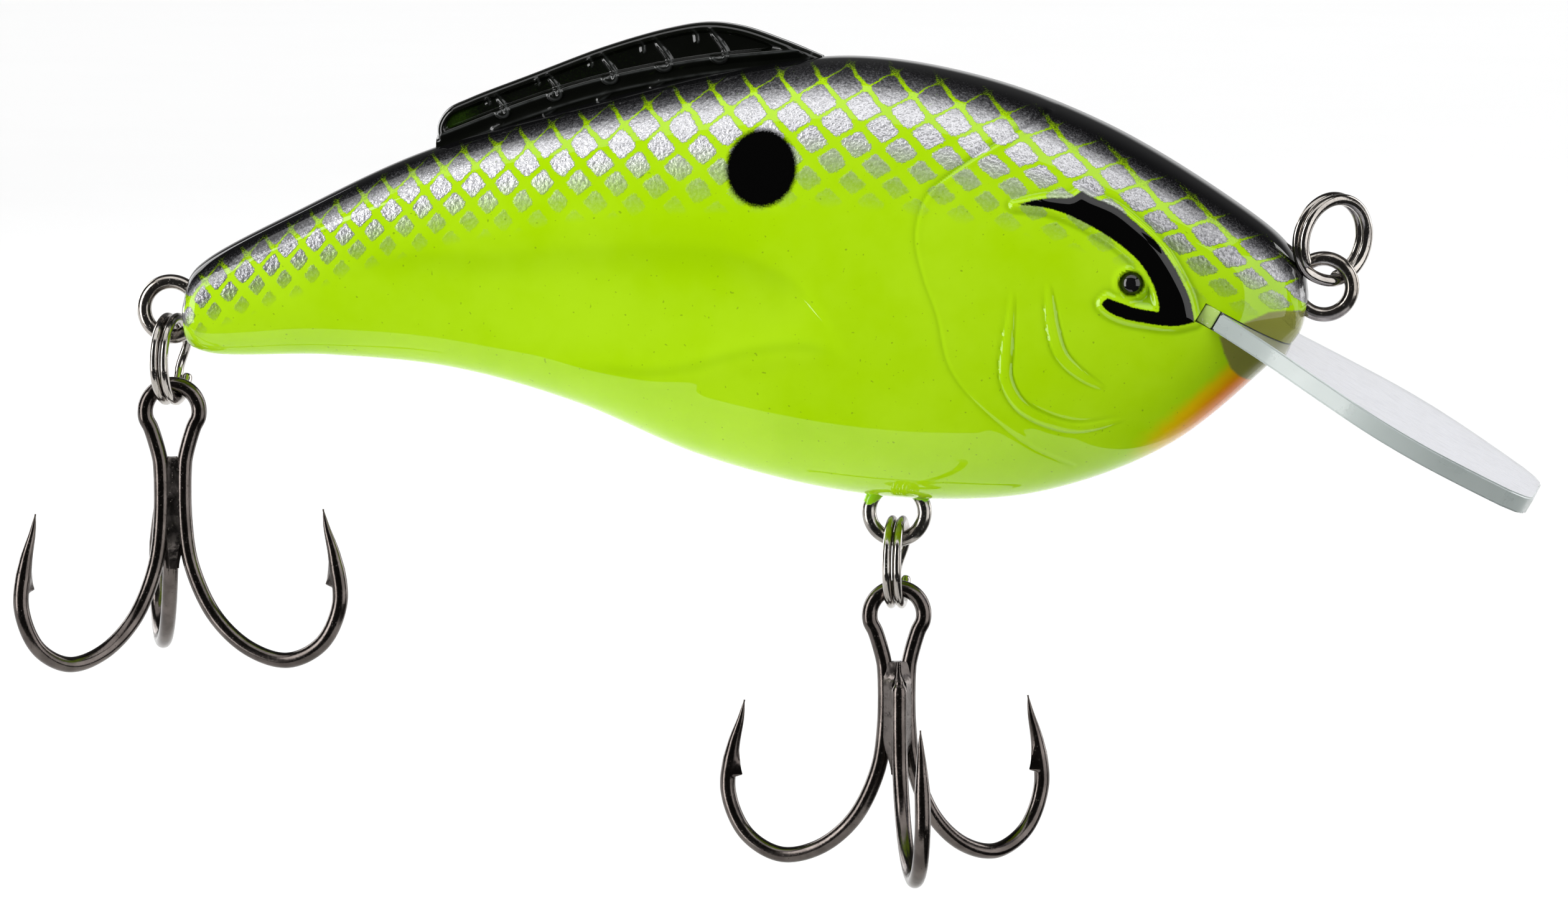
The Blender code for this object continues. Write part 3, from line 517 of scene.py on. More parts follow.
def shell_paint():
    """Chartreuse flanks with silver foil between net lines, black back, brow and spot, all under clear coat."""
    paint = Finish("shell_paint")
    cloud = paint.ramp(paint.noise(9.0, 4.0, 0.6), 0.3, 0.7)
    colour = paint.mix(cloud, CHARTREUSE, CHARTREUSE_DEEP)
    # Painted shade: the relief's creases, grooves and recesses are darkened towards FOLD_SHADE.
    fold = paint.ramp(paint.field("fold"), 0.0, 1.0)
    colour = paint.mix(paint.times(fold, 0.5), colour, FOLD_SHADE)
    throat = paint.plus(paint.field("throat"), paint.times(paint.noise(0.9, 2.0), 0.12))
    colour = paint.mix(paint.ramp(throat, 0.15, 0.6), colour, YELLOW)
    colour = paint.mix(paint.ramp(throat, 0.5, 1.1), colour, ORANGE)

    waver = paint.times(paint.minus(paint.noise(1.2, 2.0), 0.5), 0.20)
    grain = paint.minus(paint.noise(0.11, 1.0), 0.5)
    lines = []
    for letter in ("a", "b"):
        phase = paint.plus(paint.field("net_" + letter), waver)
        from_line = paint.math("ABSOLUTE", paint.minus(paint.math("FRACT", paint.plus(phase, 0.5)), 0.5))
        width = paint.field("width_" + letter)
        edge = paint.plus(from_line, paint.times(grain, 0.13))
        lines.append(paint.ramp(edge, paint.minus(width, 0.06), paint.plus(width, 0.20)))
    both = paint.times(lines[0], lines[1])
    cell = paint.ramp(both, 0.15, paint.plus(0.19, paint.field("net_soft")))
    cell = paint.times(cell, paint.field("cell"))
    flake = paint.minus(paint.noise(0.2, 2.0, 0.7), 0.5)
    tone = paint.plus(paint.field("tone"), paint.times(flake, 0.9))
    foil = paint.mix(paint.ramp(tone, 0.0, 1.0), SILVER_DARK, SILVER)
    colour = paint.mix(cell, colour, foil)

    def sprayed(field, roughness):
        """A field whose edge is roughened by the grain."""
        return paint.plus(paint.field(field), paint.times(grain, roughness))

    back = paint.ramp(sprayed("back", 1.5), -0.7, 1.0, 1.0, 0.0)
    colour = paint.mix(back, colour, BLACK)
    spot = paint.ramp(sprayed("spot", 0.3), -0.22, 0.2, 1.0, 0.0)
    brow = paint.ramp(sprayed("brow", 0.12), -0.05, 0.06)
    ink = paint.math("MAXIMUM", spot, brow)
    colour = paint.mix(ink, colour, INK)
    colour = paint.mix(paint.ramp(sprayed("bare", 0.1), -0.1, 0.12), colour, OLIVE)

    over = paint.math("MAXIMUM", back, ink)
    seen_foil = paint.times(cell, paint.minus(1.0, over))
    peel = paint.times(paint.noise(0.24, 2.0), seen_foil)
    dust = paint.ramp(paint.noise(0.22, 0.0), 0.80, 0.86)
    dust = paint.times(dust, paint.minus(0.45, paint.times(over, 0.45)))
    colour = paint.mix(dust, colour, DUST)
    paint.set(Base_Color=colour, Metallic=paint.times(seen_foil, 0.62),
              Roughness=paint.ramp(seen_foil, 0.0, 1.0, 0.42, 0.34), Normal=paint.bump(peel, 0.13),
              Specular_IOR_Level=0.0, Coat_Weight=1.0, Coat_Roughness=0.025, Coat_IOR=1.44)
    return paint.material


def fin_paint():
    """Gloss black, with green showing through at the rear corner. Painted highlights: the tops of the relief's
    ridges are painted grey, in place of the fine glints that the lights don't give."""
    paint = Finish("fin_paint")
    grain = paint.times(paint.noise(0.12, 1.0), 0.6)
    glimpse = paint.ramp(paint.plus(paint.field("glimpse"), grain), 0.55, 1.5)
    colour = paint.mix(glimpse, (0.0015, 0.002, 0.001), (0.022, 0.06, 0.0))
    # Painted highlight: grey lines on the tops of the relief's ridges, standing in for glints.
    painted_glint = paint.times(paint.field("painted_glint"), paint.ramp(paint.noise(1.2), 0.25, 0.6, 0.35, 1.0))
    colour = paint.mix(painted_glint, colour, (0.075, 0.08, 0.078))
    paint.set(Base_Color=colour, Roughness=paint.ramp(paint.noise(1.5), 0.3, 0.7, 0.22, 0.34),
              Normal=paint.bump(paint.noise(2.5, 1.0), 0.03), Specular_IOR_Level=0.1,
              Coat_Weight=1.0, Coat_Roughness=0.02)
    return paint.material


def polycarbonate():
    """Clear plate with a milky tint, fine scratches and a little dust."""
    finish = Finish("lip_polycarbonate")
    haze = finish.noise(6.0, 3.0)
    scratches = finish.noise(0.5, 4.0, 0.6, stretch=(0.08, 1.0, 1.0))
    dust = finish.ramp(finish.noise(0.35, 0.0), 0.78, 0.84)
    colour = finish.mix(haze, (0.80, 0.82, 0.93), (0.86, 0.88, 0.97))
    colour = finish.mix(finish.times(dust, 0.35), colour, (0.35, 0.36, 0.38))
    finish.set(Base_Color=colour, Roughness=finish.ramp(scratches, 0.3, 0.8, 0.10, 0.22),
               Normal=finish.bump(scratches, 0.006), Transmission_Weight=0.72, IOR=1.585,
               Coat_Weight=0.6, Coat_Roughness=0.03)
    return finish.material


def cut_edge():
    """The milled rim of the plate: milkier and greener than its faces, with cutter marks along it. Its darker grey
    is partly painted shade, a shaded copy of the plate's clear material.
    """
    finish = Finish("lip_rim_cut_and_shade")
    haze = finish.noise(4.0, 3.0)
    marks = finish.noise(0.5, 3.0, 0.6, stretch=(0.25, 0.25, 0.25))
    specks = finish.ramp(finish.noise(0.3, 0.0), 0.80, 0.86)
    colour = finish.mix(haze, (0.46, 0.52, 0.50), (0.57, 0.63, 0.61))
    colour = finish.mix(finish.times(specks, 0.15), colour, (0.22, 0.21, 0.19))
    finish.set(Base_Color=colour, Roughness=finish.ramp(marks, 0.3, 0.7, 0.26, 0.36),
               Normal=finish.bump(marks, 0.006), Transmission_Weight=0.15, IOR=1.585,
               Coat_Weight=0.3, Coat_Roughness=0.08)
    return finish.material


def adhesive():
    """Clear cured glue with a green cast and trapped bubbles."""
    finish = Finish("lip_adhesive_resin")
    bubbles = finish.ramp(finish.noise(0.22, 1.0), 0.62, 0.7)
    colour = finish.mix(bubbles, (0.60, 0.84, 0.22), (0.86, 0.95, 0.62))
    finish.set(Base_Color=colour, Roughness=finish.ramp(bubbles, 0.0, 1.0, 0.06, 0.2),
               Normal=finish.bump(finish.noise(0.4, 2.0), 0.05), Transmission_Weight=0.12, IOR=1.5,
               Coat_Weight=0.5, Coat_Roughness=0.03)
    return finish.material


def metal(name, bright, dark, rough, paint_above=None):
    """Plated wire with streaks and small pits. Above a height in mm it has the body's paint on it."""
    finish = Finish(name)
    cloud = finish.ramp(finish.noise(1.6, 3.0), 0.3, 0.7)
    streaks = finish.noise(0.16, 3.0, 0.6)
    pits = finish.ramp(finish.noise(0.13, 1.0), 0.70, 0.78)
    colour = finish.mix(cloud, bright, dark)
    colour = finish.mix(finish.times(pits, 0.6), colour, (0.02, 0.018, 0.016))
    height = finish.minus(finish.times(streaks, 0.35), pits)
    roughness = finish.ramp(streaks, 0.25, 0.75, rough * 0.75, rough * 1.35)
    metallic = finish.minus(1.0, finish.times(pits, 0.2))
    if paint_above is not None:
        edge = finish.plus(finish.axis(2), finish.times(finish.noise(0.9, 3.0), 1.6 * MM))
        painted = finish.ramp(edge, paint_above * MM, (paint_above + 0.15) * MM)
        colour = finish.mix(painted, colour, (0.33, 0.66, 0.01))
        metallic = finish.times(metallic, finish.minus(1.0, painted))
        height = finish.plus(height, finish.times(painted, 2.0))
    finish.set(Base_Color=colour, Metallic=metallic, Roughness=roughness, Normal=finish.bump(height, 0.012))
    return finish.material


def braze_metal():
    """Flowed braze under black nickel: soft lumps and a few pinholes."""
    finish = Finish("braze_metal")
    lumps = finish.noise(0.9, 2.0)
    pins = finish.ramp(finish.noise(0.2, 1.0), 0.68, 0.76)
    colour = finish.mix(lumps, (0.09, 0.079, 0.074), (0.15, 0.133, 0.125))
    height = finish.minus(lumps, finish.times(pins, 0.4))
    finish.set(Base_Color=colour, Metallic=1.0, Roughness=finish.ramp(lumps, 0.3, 0.7, 0.2, 0.4),
               Normal=finish.bump(height, 0.12))
    return finish.material


def bead_gloss():
    """Gloss black resin, a little uneven."""
    finish = Finish("bead_gloss")
    cloud = finish.noise(0.6, 2.0)
    colour = finish.mix(cloud, (0.002, 0.002, 0.002), (0.008, 0.008, 0.009))
    finish.set(Base_Color=colour, Roughness=finish.ramp(cloud, 0.3, 0.7, 0.06, 0.12),
               Normal=finish.bump(finish.noise(0.5, 1.0), 0.01), Specular_IOR_Level=0.1,
               Coat_Weight=1.0, Coat_Roughness=0.02)
    return finish.material


def cast_metal(name, bright, dark, size, rough):
    """Dull cast or tumbled metal."""
    finish = Finish(name)
    grain = finish.noise(size, 4.0, 0.6)
    finish.set(Base_Color=finish.mix(grain, bright, dark), Metallic=1.0,
               Roughness=finish.ramp(grain, 0.3, 0.7, rough * 0.8, rough * 1.2), Normal=finish.bump(grain, 0.05))
    return finish.material


def floor_paper():
    """Pale paper with a faint fibre."""
    finish = Finish("floor_paper")
    fibre = finish.noise(40.0, 4.0)
    finish.set(Base_Color=finish.mix(fibre, (0.93, 0.93, 0.93), (0.95, 0.95, 0.95)), Roughness=0.85)
    return finish.material


# ---------------------------------------------------------------- body

def stations():
    """X of the skin's rings, closer together where the relief is fine."""
    found = []
    for start, end, step in STATION_STEPS:
        count = int(round((end - start) / step))
        found += [start + (end - start) * i / count for i in range(count)]
    return np.array(found + [NOSE_X])


def brow_outline():
    """The brow's five curves, which meet at its corners."""
    curves = (BROW_OUTER, BROW_FRONT, BROW_FOOT, BROW_ARM, BROW_INNER)
    return np.vstack([curve_through(points, 8)[:-1] for points in curves])


def relief(x, z):
    """Height of the moulded relief over the smooth flank, how much painted shade darkens the paint in its creases,
    grooves and recesses, and the depth inside the brow's outline."""
    height = np.zeros(x.shape)
    fold = np.zeros(x.shape)

    top, foot = read_curve(RECESS_TOP)(x), read_curve(RECESS_FOOT)(x)
    span = np.maximum(top - foot, 0.6)
    below = (top - z) / span
    ends = ease(x, -70.0, -54.0) * ease(-x, 30.4, 36.0)
    hollow = ease(below, -0.12, 0.34) * (1 - ease(below, 0.5, 1.1)) * ends
    height -= RECESS_SINK * hollow
    # Painted shade under the recess's upper edge, and along the fold at its foot.
    shaded = ease(below, 0.0, 0.16) * (1 - 0.55 * ease(below, 0.16, 0.5)) * (1 - ease(below, 0.7, 1.05))
    fold += 0.34 * shaded * ease(x, -70.0, -60.0) * ease(-x, 31.0, 36.0)
    ridge_reach = ease(x, -53.0, -46.0) * ease(-x, 30.0, 34.0)
    height += RECESS_RIDGE * hill(z - foot, 0.8) * ridge_reach
    fold += 0.42 * hill(z - foot - 0.35, 0.5) * ridge_reach

    away, along, signed = near_curve(curve_through(GILL_CREASE, 8), x, z)
    strong = 0.42 + 0.58 * (1 - ease(along, 0.15, 0.36)) - 0.2 * ease(along, 0.7, 1.0)
    height += strong * (CREASE_LIP * hill(signed - 0.32, 0.17) + CREASE_SWELL * hill(signed + 0.5, 0.4)
                        - CREASE_CUT * hill(away, 0.13))
    fold += 1.2 * strong * hill(away, 0.13)

    for crescent in (REAR_CRESCENT, FRONT_CRESCENT):
        away, along = near_curve(curve_through(crescent, 8), x, z)[:2]
        swell = np.sqrt(np.clip(4 * along * (1 - along), 0, 1))
        swell = np.where(away < 2.5, swell, 0.0)
        half = CRESCENT_HALF_WIDTH * swell + 0.02
        height += CRESCENT_STAND * swell * (1 - ease(away, half * 0.6, half + 0.1))
        height -= CRESCENT_CUT * swell * hill(away - half - 0.1, 0.1)
        fold += 0.7 * swell * hill(away - half - 0.05, 0.12)

    depth = inside_depth(brow_outline(), x, z)
    height += BROW_STEP * ease(depth, -0.40, -0.14) + BROW_DOME * ease(depth, -0.02, 0.5)
    height -= BROW_MOAT * hill(depth + 0.52, 0.16)
    fold += 0.6 * hill(depth + 0.48, 0.18)
    # The pocket by the bead sinks and gets painted shade.
    pocket = hill(np.hypot(x - BROW_POCKET[0], z - BROW_POCKET[1]), 0.8) * ease(-depth, 0.1, 0.3)
    height -= POCKET_SINK * pocket
    fold += 0.9 * pocket

    from_bead = np.hypot(x - BEAD_CENTRE[0], z - BEAD_CENTRE[1])
    height *= 1 - 0.5 * ease(-from_bead, -1.35, -1.1)
    height += COLLAR_STAND * hill(from_bead - 0.98, 0.17) - SOCKET_SINK * ease(-from_bead, -0.86, -0.74)
    return height, np.clip(fold, 0, 1), depth


def net_phases(x, z):
    """For each family of net lines, a field that is whole on its lines, and its lines per mm."""
    line = np.arange(TAIL_X - 1, NOSE_X + 1, 0.1)
    rule = BACK(line) - NET_REFERENCE_DEPTH
    steps = np.gradient(line)
    found = []
    down = np.full(line.shape, math.tan(NET_DOWN_ANGLE))
    up = np.tan(np.interp(line, NET_KNOTS, np.radians(NET_UP_ANGLES)))
    for density_knots, tangent, sign in ((NET_DOWN_DENSITY, down, 1), (NET_UP_DENSITY, up, -1)):
        density = np.interp(line, NET_KNOTS, density_knots)
        slope = density * tangent - sign * rule * np.gradient(density, line)
        total = np.cumsum(slope * steps)
        phase = np.interp(x, line, total) + sign * z * np.interp(x, line, density)
        anchor_density = np.interp(NET_ANCHOR[0], line, density)
        start = np.interp(NET_ANCHOR[0], line, total) + sign * NET_ANCHOR[1] * anchor_density
        per_mm = np.interp(x, line, density * np.sqrt(1 + tangent ** 2))
        found.append((phase - start, per_mm))
    return found


def paint_fields(x, z):
    """Fields that the paint reads, one value a point."""
    depth = BACK(x) - z
    reach = depth / at_knots(x, NET_DEPTH) * NET_REACH
    (net_a, per_a), (net_b, per_b) = net_phases(x, z)
    widen = np.clip(reach - 1.0, 0, 7)
    throat = ease(x, -15.0, -6.0) * ease(BELLY(x) - z, -3.6, -0.2) * ease(-z, 3.2, 4.6)
    from_spot = np.hypot((x - SPOT_CENTRE[0]) / SPOT_SIZE[0], (z - SPOT_CENTRE[1]) / SPOT_SIZE[1])
    return {
        "net_a": net_a,
        "net_b": net_b,
        "width_a": (0.10 + 0.026 * widen) * per_a,
        "width_b": (0.015 + 0.024 * widen) * per_b,
        "net_soft": 0.04 + 0.05 * widen,
        "cell": at_knots(reach, FOIL_BY_REACH),
        "tone": at_knots(reach, TONE_BY_REACH) * at_knots(x, TONE_ALONG),
        "back": depth - at_knots(x, BACK_DEPTH),
        "spot": (from_spot - 1) * SPOT_SIZE[0],
        "throat": throat,
        "bare": np.maximum(inside_depth(BARE_UPPER, x, z), inside_depth(BARE_LOWER, x, z)),
    }


def skin(half, side, finish):
    """One half of the painted body as a fine closed mesh."""
    along = stations()
    angles = np.pi * np.arange(AROUND + 1) / AROUND
    x = np.repeat(along[:, None], AROUND + 1, axis=1)
    top, bottom = BACK(along)[:, None], BELLY(along)[:, None]
    across = SIDE(along)[:, None] * np.abs(np.sin(angles)) ** (2 / SECTION_POWER)
    rise = np.sign(np.cos(angles)) * np.abs(np.cos(angles)) ** (2 / SECTION_POWER)
    up = (top + bottom) / 2 + (top - bottom) / 2 * rise
    across = SEAM_HALF_GAP + np.maximum(across - SEAM_HALF_GAP, 0.0)
    points = np.stack([x, side * across, up], axis=-1)
    normals = np.cross(np.gradient(points, axis=0), np.gradient(points, axis=1))
    normals /= np.maximum(np.linalg.norm(normals, axis=-1, keepdims=True), 1e-9)
    normals *= np.sign((normals[..., 1] * side).sum())

    height, fold, brow = relief(x.ravel(), up.ravel())
    free = ease(across, 0.4, 2.2).ravel()
    ends = (ease(x, -77.0, -75.0) * ease(-x, 1.3, 3.0)).ravel()
    moved = points.reshape(-1, 3) + normals.reshape(-1, 3) * (height * free * ends)[:, None]
    fields = paint_fields(x.ravel(), up.ravel())
    fields["fold"] = fold * free
    fields["brow"] = brow
    mesh = grid_mesh("skin_" + half, moved, tube_faces(len(along), AROUND + 1), fields, SKIN_SHARP)
    made = new_piece("skin_" + half, mesh, finish, "lure_body", "shell_" + half)
    cut(made, slot_cutter())
    made.data.shade_smooth()
    made.data.set_sharp_from_angle(angle=math.radians(SKIN_SHARP))


def lip_place():
    """Local X runs down the lip from its back edge, and local Z stands on its top face."""
    root = Vector((LIP_TOP_ROOT[0], 0, LIP_TOP_ROOT[1])) * MM
    return Matrix.Translation(root) @ Matrix.Rotation(LIP_SLOPE, 4, "Y")


def box_shape(low, high):
    """A box between two corners in mm."""
    shape = bmesh.new()
    bmesh.ops.create_cube(shape, size=1.0)
    size = (Vector(high) - Vector(low)) * MM
    centre = (Vector(high) + Vector(low)) / 2 * MM
    bmesh.ops.scale(shape, verts=shape.verts, vec=size)
    bmesh.ops.translate(shape, verts=shape.verts, vec=centre)
    return shape


def slot_cutter():
    """The lip's slot, through both sides of the head."""
    back = -ADHESIVE_LENGTH - 2 * SLOT_CLEARANCE
    shape = box_shape((back, -20.0, -LIP_THICKNESS - 0.05), (30.0, 20.0, 0.05))
    tool = linked("slot", mesh_of("slot", shape))
    tool.matrix_world = lip_place()
    return tool


def fin(half, side, finish):
    """One half of the back fin: raised rim, sunk field, rays that hook back at their feet, and a base band."""
    top, foot = (resample(curve_through(edge, 20), FIN_COLUMNS + 1) for edge in (FIN_TOP, FIN_FOOT))
    levels = np.linspace(0, 1, FIN_ROWS + 1)
    x, z = (foot[:, None, k] + (top - foot)[:, None, k] * levels for k in (0, 1))
    rim_away = near_curve(curve_through(FIN_TOP, 12), x.ravel(), z.ravel())[0].reshape(x.shape)
    base = near_curve(curve_through(FIN_BASE_LINE, 10), x.ravel(), z.ravel())
    base_away, above_base = base[0].reshape(x.shape), base[2].reshape(x.shape)
    thick = np.full(x.shape, FIN_HALF_THICKNESS - SEAM_HALF_GAP)
    corner = np.clip(1 - rim_away / FIN_EDGE_ROUND, 0, 1)
    thick -= FIN_EDGE_ROUND * 1.5 * (1 - np.sqrt(1 - np.minimum(corner, 0.999) ** 2))
    field = ease(rim_away, 0.45, 0.75) * ease(above_base, 0.08, 0.35)
    thick -= FIN_FIELD_SINK * field + FIN_BAND_SINK * ease(-above_base, 0.15, 0.6)
    lower_bead = above_base + FIN_LOWER_BEAD
    thick += FIN_BEAD_STAND * (hill(base_away, 0.17) + hill(lower_bead, 0.16))
    # Painted highlight: thin grey lines on the tops of the two base beads here, and of each ray's ridge below.
    painted_glint = 0.8 * hill(base_away, 0.06) + 0.45 * hill(lower_bead, 0.07)
    inside = ease(rim_away, 0.3, 0.6)
    for foot_x, foot_z, ray_height in FIN_RAYS:
        for outline, rise in FIN_RAY_PARTS:
            spine = np.array(outline) * ray_height + (foot_x, foot_z)
            away, along, signed = near_curve(curve_through(spine, 8), x.ravel(), z.ravel())
            ridge = hill(away, 0.2) * (0.45 + 0.55 * ease(along, 0.0, 0.4))
            thick += rise * ridge.reshape(x.shape) * inside
            lit = hill(signed - 0.1, 0.07) * (0.35 + 0.65 * ease(along, 0.1, 0.6)) * rise / FIN_RAY_PARTS[0][1]
            painted_glint = np.maximum(painted_glint, lit.reshape(x.shape) * inside)
    glimpse = field * (0.5 * (1 - ease(x, -59.0, -56.0)) + 0.3 * (1 - ease(x, -50.0, -36.0)))

    outer = np.stack([x, side * np.maximum(thick, 0.1), z], axis=-1)
    seam = np.full(FIN_COLUMNS + 1, side * SEAM_HALF_GAP)
    seam_foot, seam_top = (np.stack([edge[:, 0], seam, edge[:, 1]], axis=-1)[:, None] for edge in (foot, top))
    rings = np.concatenate([seam_foot, outer, seam_top], axis=1)
    fields = {name: np.pad(values, ((0, 0), (1, 1))).ravel()
              for name, values in (("glimpse", glimpse), ("painted_glint", painted_glint))}
    mesh = grid_mesh("fin_" + half, rings.reshape(-1, 3), tube_faces(*rings.shape[:2]), fields, 180)
    new_piece("fin_" + half, mesh, finish, "lure_body", "shell_" + half)


def resample(curve, count):
    """The same curve with evenly spaced points."""
    travelled = np.concatenate([[0.0], np.cumsum(np.linalg.norm(np.diff(curve, axis=0), axis=1))])
    wanted = np.linspace(0, travelled[-1], count)
    return np.stack([np.interp(wanted, travelled, curve[:, k]) for k in range(curve.shape[1])], axis=1)


# ---------------------------------------------------------------- lip and eyes

def lip(finish, edge_finish):
    """A rounded plate whose rim has its own material."""
    curve = [tuple(point) for point in curve_through(LIP_HALF_OUTLINE, 12)] + LIP_END
    outline = curve + [(x, -y) for x, y in reversed(curve)]
    shape = bmesh.new()
    corners = [shape.verts.new(Vector((x, y, 0)) * MM) for x, y in outline]
    drawn = bmesh.ops.extrude_face_region(shape, geom=[shape.faces.new(corners)])
    moved = [item for item in drawn["geom"] if isinstance(item, bmesh.types.BMVert)]
    bmesh.ops.translate(shape, verts=moved, vec=Vector((0, 0, -LIP_THICKNESS)) * MM)
    rims = [edge for edge in shape.edges if abs(edge.verts[0].co.z - edge.verts[1].co.z) < 1e-6]
    bmesh.ops.bevel(shape, geom=rims, offset=LIP_BEVEL * MM, segments=3, affect="EDGES")
    bmesh.ops.recalc_face_normals(shape, faces=shape.faces)
    shape.transform(lip_place())
    mesh = mesh_of("clear_lip", shape)
    mesh.shade_smooth()
    mesh.set_sharp_from_angle(angle=math.radians(25))
    new_piece("clear_lip", mesh, finish, "lure_body", "diving_lip")
    mesh.materials.append(edge_finish)
    plate_normal = lip_place().to_3x3() @ Vector((0, 0, 1))
    for face in mesh.polygons:
        face.material_index = int(abs(face.normal.dot(plate_normal)) < RIM_FACING)


def glue(finish):
    """The glue bead that fills the back of the slot and stands a little out of it at both ends."""
    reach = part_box("lip_adhesive")[1].y / MM
    shape = box_shape((-1.9 * SLOT_CLEARANCE - ADHESIVE_LENGTH, -reach, -LIP_THICKNESS - 0.04),
                      (-SLOT_CLEARANCE, reach, 0.04))
    bmesh.ops.bevel(shape, geom=shape.edges[:], offset=0.1 * MM, segments=4, profile=0.5, affect="EDGES")
    shape.transform(lip_place())
    mesh = mesh_of("glue_bead", shape)
    mesh.shade_smooth()
    new_piece("glue_bead", mesh, finish, "lure_body", "lip_adhesive")


def bead(half, side, finish):
    """A domed bead turned about Y."""
    stand = float(surface_half_width(*BEAD_CENTRE))
    profile = [(BEAD_RADIUS * 0.9, -0.9), (BEAD_RADIUS, -0.75)]
    for turn in (math.pi / 2 * step / BEAD_DOME_STEPS for step in range(BEAD_DOME_STEPS)):
        profile.append((BEAD_RADIUS * math.cos(turn), -0.22 + (BEAD_STAND + 0.2) * math.sin(turn)))
    points = []
    for radius, out in profile:
        for turn in (2 * math.pi * i / BEAD_AROUND for i in range(BEAD_AROUND)):
            points.append((BEAD_CENTRE[0] + radius * math.cos(turn), side * (stand + out),
                           BEAD_CENTRE[1] + radius * math.sin(turn)))
    mesh = grid_mesh("bead_" + half, points, tube_faces(len(profile), BEAD_AROUND))
    new_piece("bead_" + half, mesh, finish, "lure_body", "eye_" + half)


# ---------------------------------------------------------------- wires

def frames_along(path, start_side):
    """Tangents and a side vector that turns as little as possible along the path."""
    ahead = np.vstack([path[1:], path[-1:]])
    behind = np.vstack([path[:1], path[:-1]])
    tangents = ahead - behind
    tangents /= np.linalg.norm(tangents, axis=1, keepdims=True)
    sides = []
    side = np.asarray(start_side, float)
    for tangent in tangents:
        side = side - tangent * side.dot(tangent)
        side = side / np.linalg.norm(side)
        sides.append(side)
    return tangents, np.array(sides)


def wire(path, first, second, start_side, swell=None):
    """Points and faces of a wire along a path, with half sizes along and across its side. The swell gives a
    shift for each point's direction."""
    tangents, sides = frames_along(path, start_side)
    others = np.cross(tangents, sides)
    turns = 2 * np.pi * np.arange(WIRE_SIDES) / WIRE_SIDES
    out = (sides[:, None] * np.cos(turns)[None, :, None] * np.asarray(first)[:, None, None]
           + others[:, None] * np.sin(turns)[None, :, None] * np.asarray(second)[:, None, None])
    if swell is not None:
        directions = out / np.maximum(np.linalg.norm(out, axis=2, keepdims=True), 1e-9)
        out = out + swell(directions)
    points = path[:, None] + out
    return points.reshape(-1, 3), tube_faces(len(path), WIRE_SIDES)


def placed_piece(name, shape, place, finish, body, node, sharp_angle=60.0):
    """A piece from points and faces about a place of its own."""
    mesh = grid_mesh(name, *shape, None, sharp_angle)
    mesh.transform(place)
    new_piece(name, mesh, finish, body, node)


def split_ring(where, place, finish):
    """Almost two turns of flattened wire, with a step over between them and blunt ends."""
    end = 2 * math.pi + RING_STEP[0] - RING_TAIL
    turns = np.linspace(0, end, RING_STEPS)
    height = (RING_WIRE[1] + RING_COIL_GAP) / 2 * (2 * ease(turns, *RING_STEP) - 1)
    path = np.stack([RING_PITCH_RADIUS * np.cos(turns), RING_PITCH_RADIUS * np.sin(turns), height], axis=1)
    blunt = 1 - 0.22 * (hill(turns, 0.035) + hill(turns - end, 0.035))
    shape = wire(path, RING_WIRE[0] / 2 * blunt, RING_WIRE[1] / 2 * blunt, (1, 0, 0))
    placed_piece(where + "_coil", shape, place, finish, where + "_ring", where + "_split_ring")


def ring_place(eye, offset, axis_turn, lean, start):
    """The place of a ring above or below its eye, with its axis turned about Z from +X."""
    about_eye = Matrix.Translation(Vector((eye[0], 0, eye[1])) * MM) @ Matrix.Rotation(lean, 4, "Y")
    centre = Matrix.Translation(Vector((0, 0, offset)) * MM)
    axis = Matrix.Rotation(axis_turn, 4, "Z") @ Matrix.Rotation(math.pi / 2, 4, "Y")
    return about_eye @ centre @ axis @ Matrix.Rotation(start, 4, "Z")


def eye_loop(centre):
    """A closed loop of round wire in the X, Z plane."""
    turns = 2 * np.pi * np.arange(EYE_STEPS) / EYE_STEPS
    rolls = 2 * np.pi * np.arange(WIRE_SIDES) / WIRE_SIDES
    out = HANGER_RING + HANGER_WIRE / 2 * np.cos(rolls)
    x = centre[0] + np.cos(turns)[:, None] * out
    z = centre[1] + np.sin(turns)[:, None] * out
    y = np.broadcast_to(HANGER_WIRE / 2 * np.sin(rolls), x.shape)
    return np.stack([x, y, z], axis=-1).reshape(-1, 3), tube_faces(EYE_STEPS, WIRE_SIDES, closed=True)


def hanger(name, eye, inward, finish, node):
    """A figure-of-eight wire, welded where its two loops meet."""
    inner = (eye[0] + 2 * HANGER_RING * math.cos(inward), eye[1] + 2 * HANGER_RING * math.sin(inward))
    made = new_piece(name, grid_mesh(name, *eye_loop(eye)), finish, "lure_body", node)
    cut(made, linked("inner_loop", grid_mesh("inner_loop", *eye_loop(inner))), "UNION")
    made.data.materials.clear()
    made.data.materials.append(finish)
    made.data.shade_smooth()


# ---------------------------------------------------------------- treble hooks

def plane_point(angle, radius, height=0.0):
    """A point in the plane that stands at an angle about the treble's axis."""
    return np.array([radius * math.cos(angle), radius * math.sin(angle), height])


def across_plane(angle):
    return np.array([-math.sin(angle), math.cos(angle), 0])


def arm_controls(angle, axis):
    """One hook's curve, from its shank to its point."""
    return [plane_point(angle, radius, height) + axis for radius, height in HOOK_CURVE]


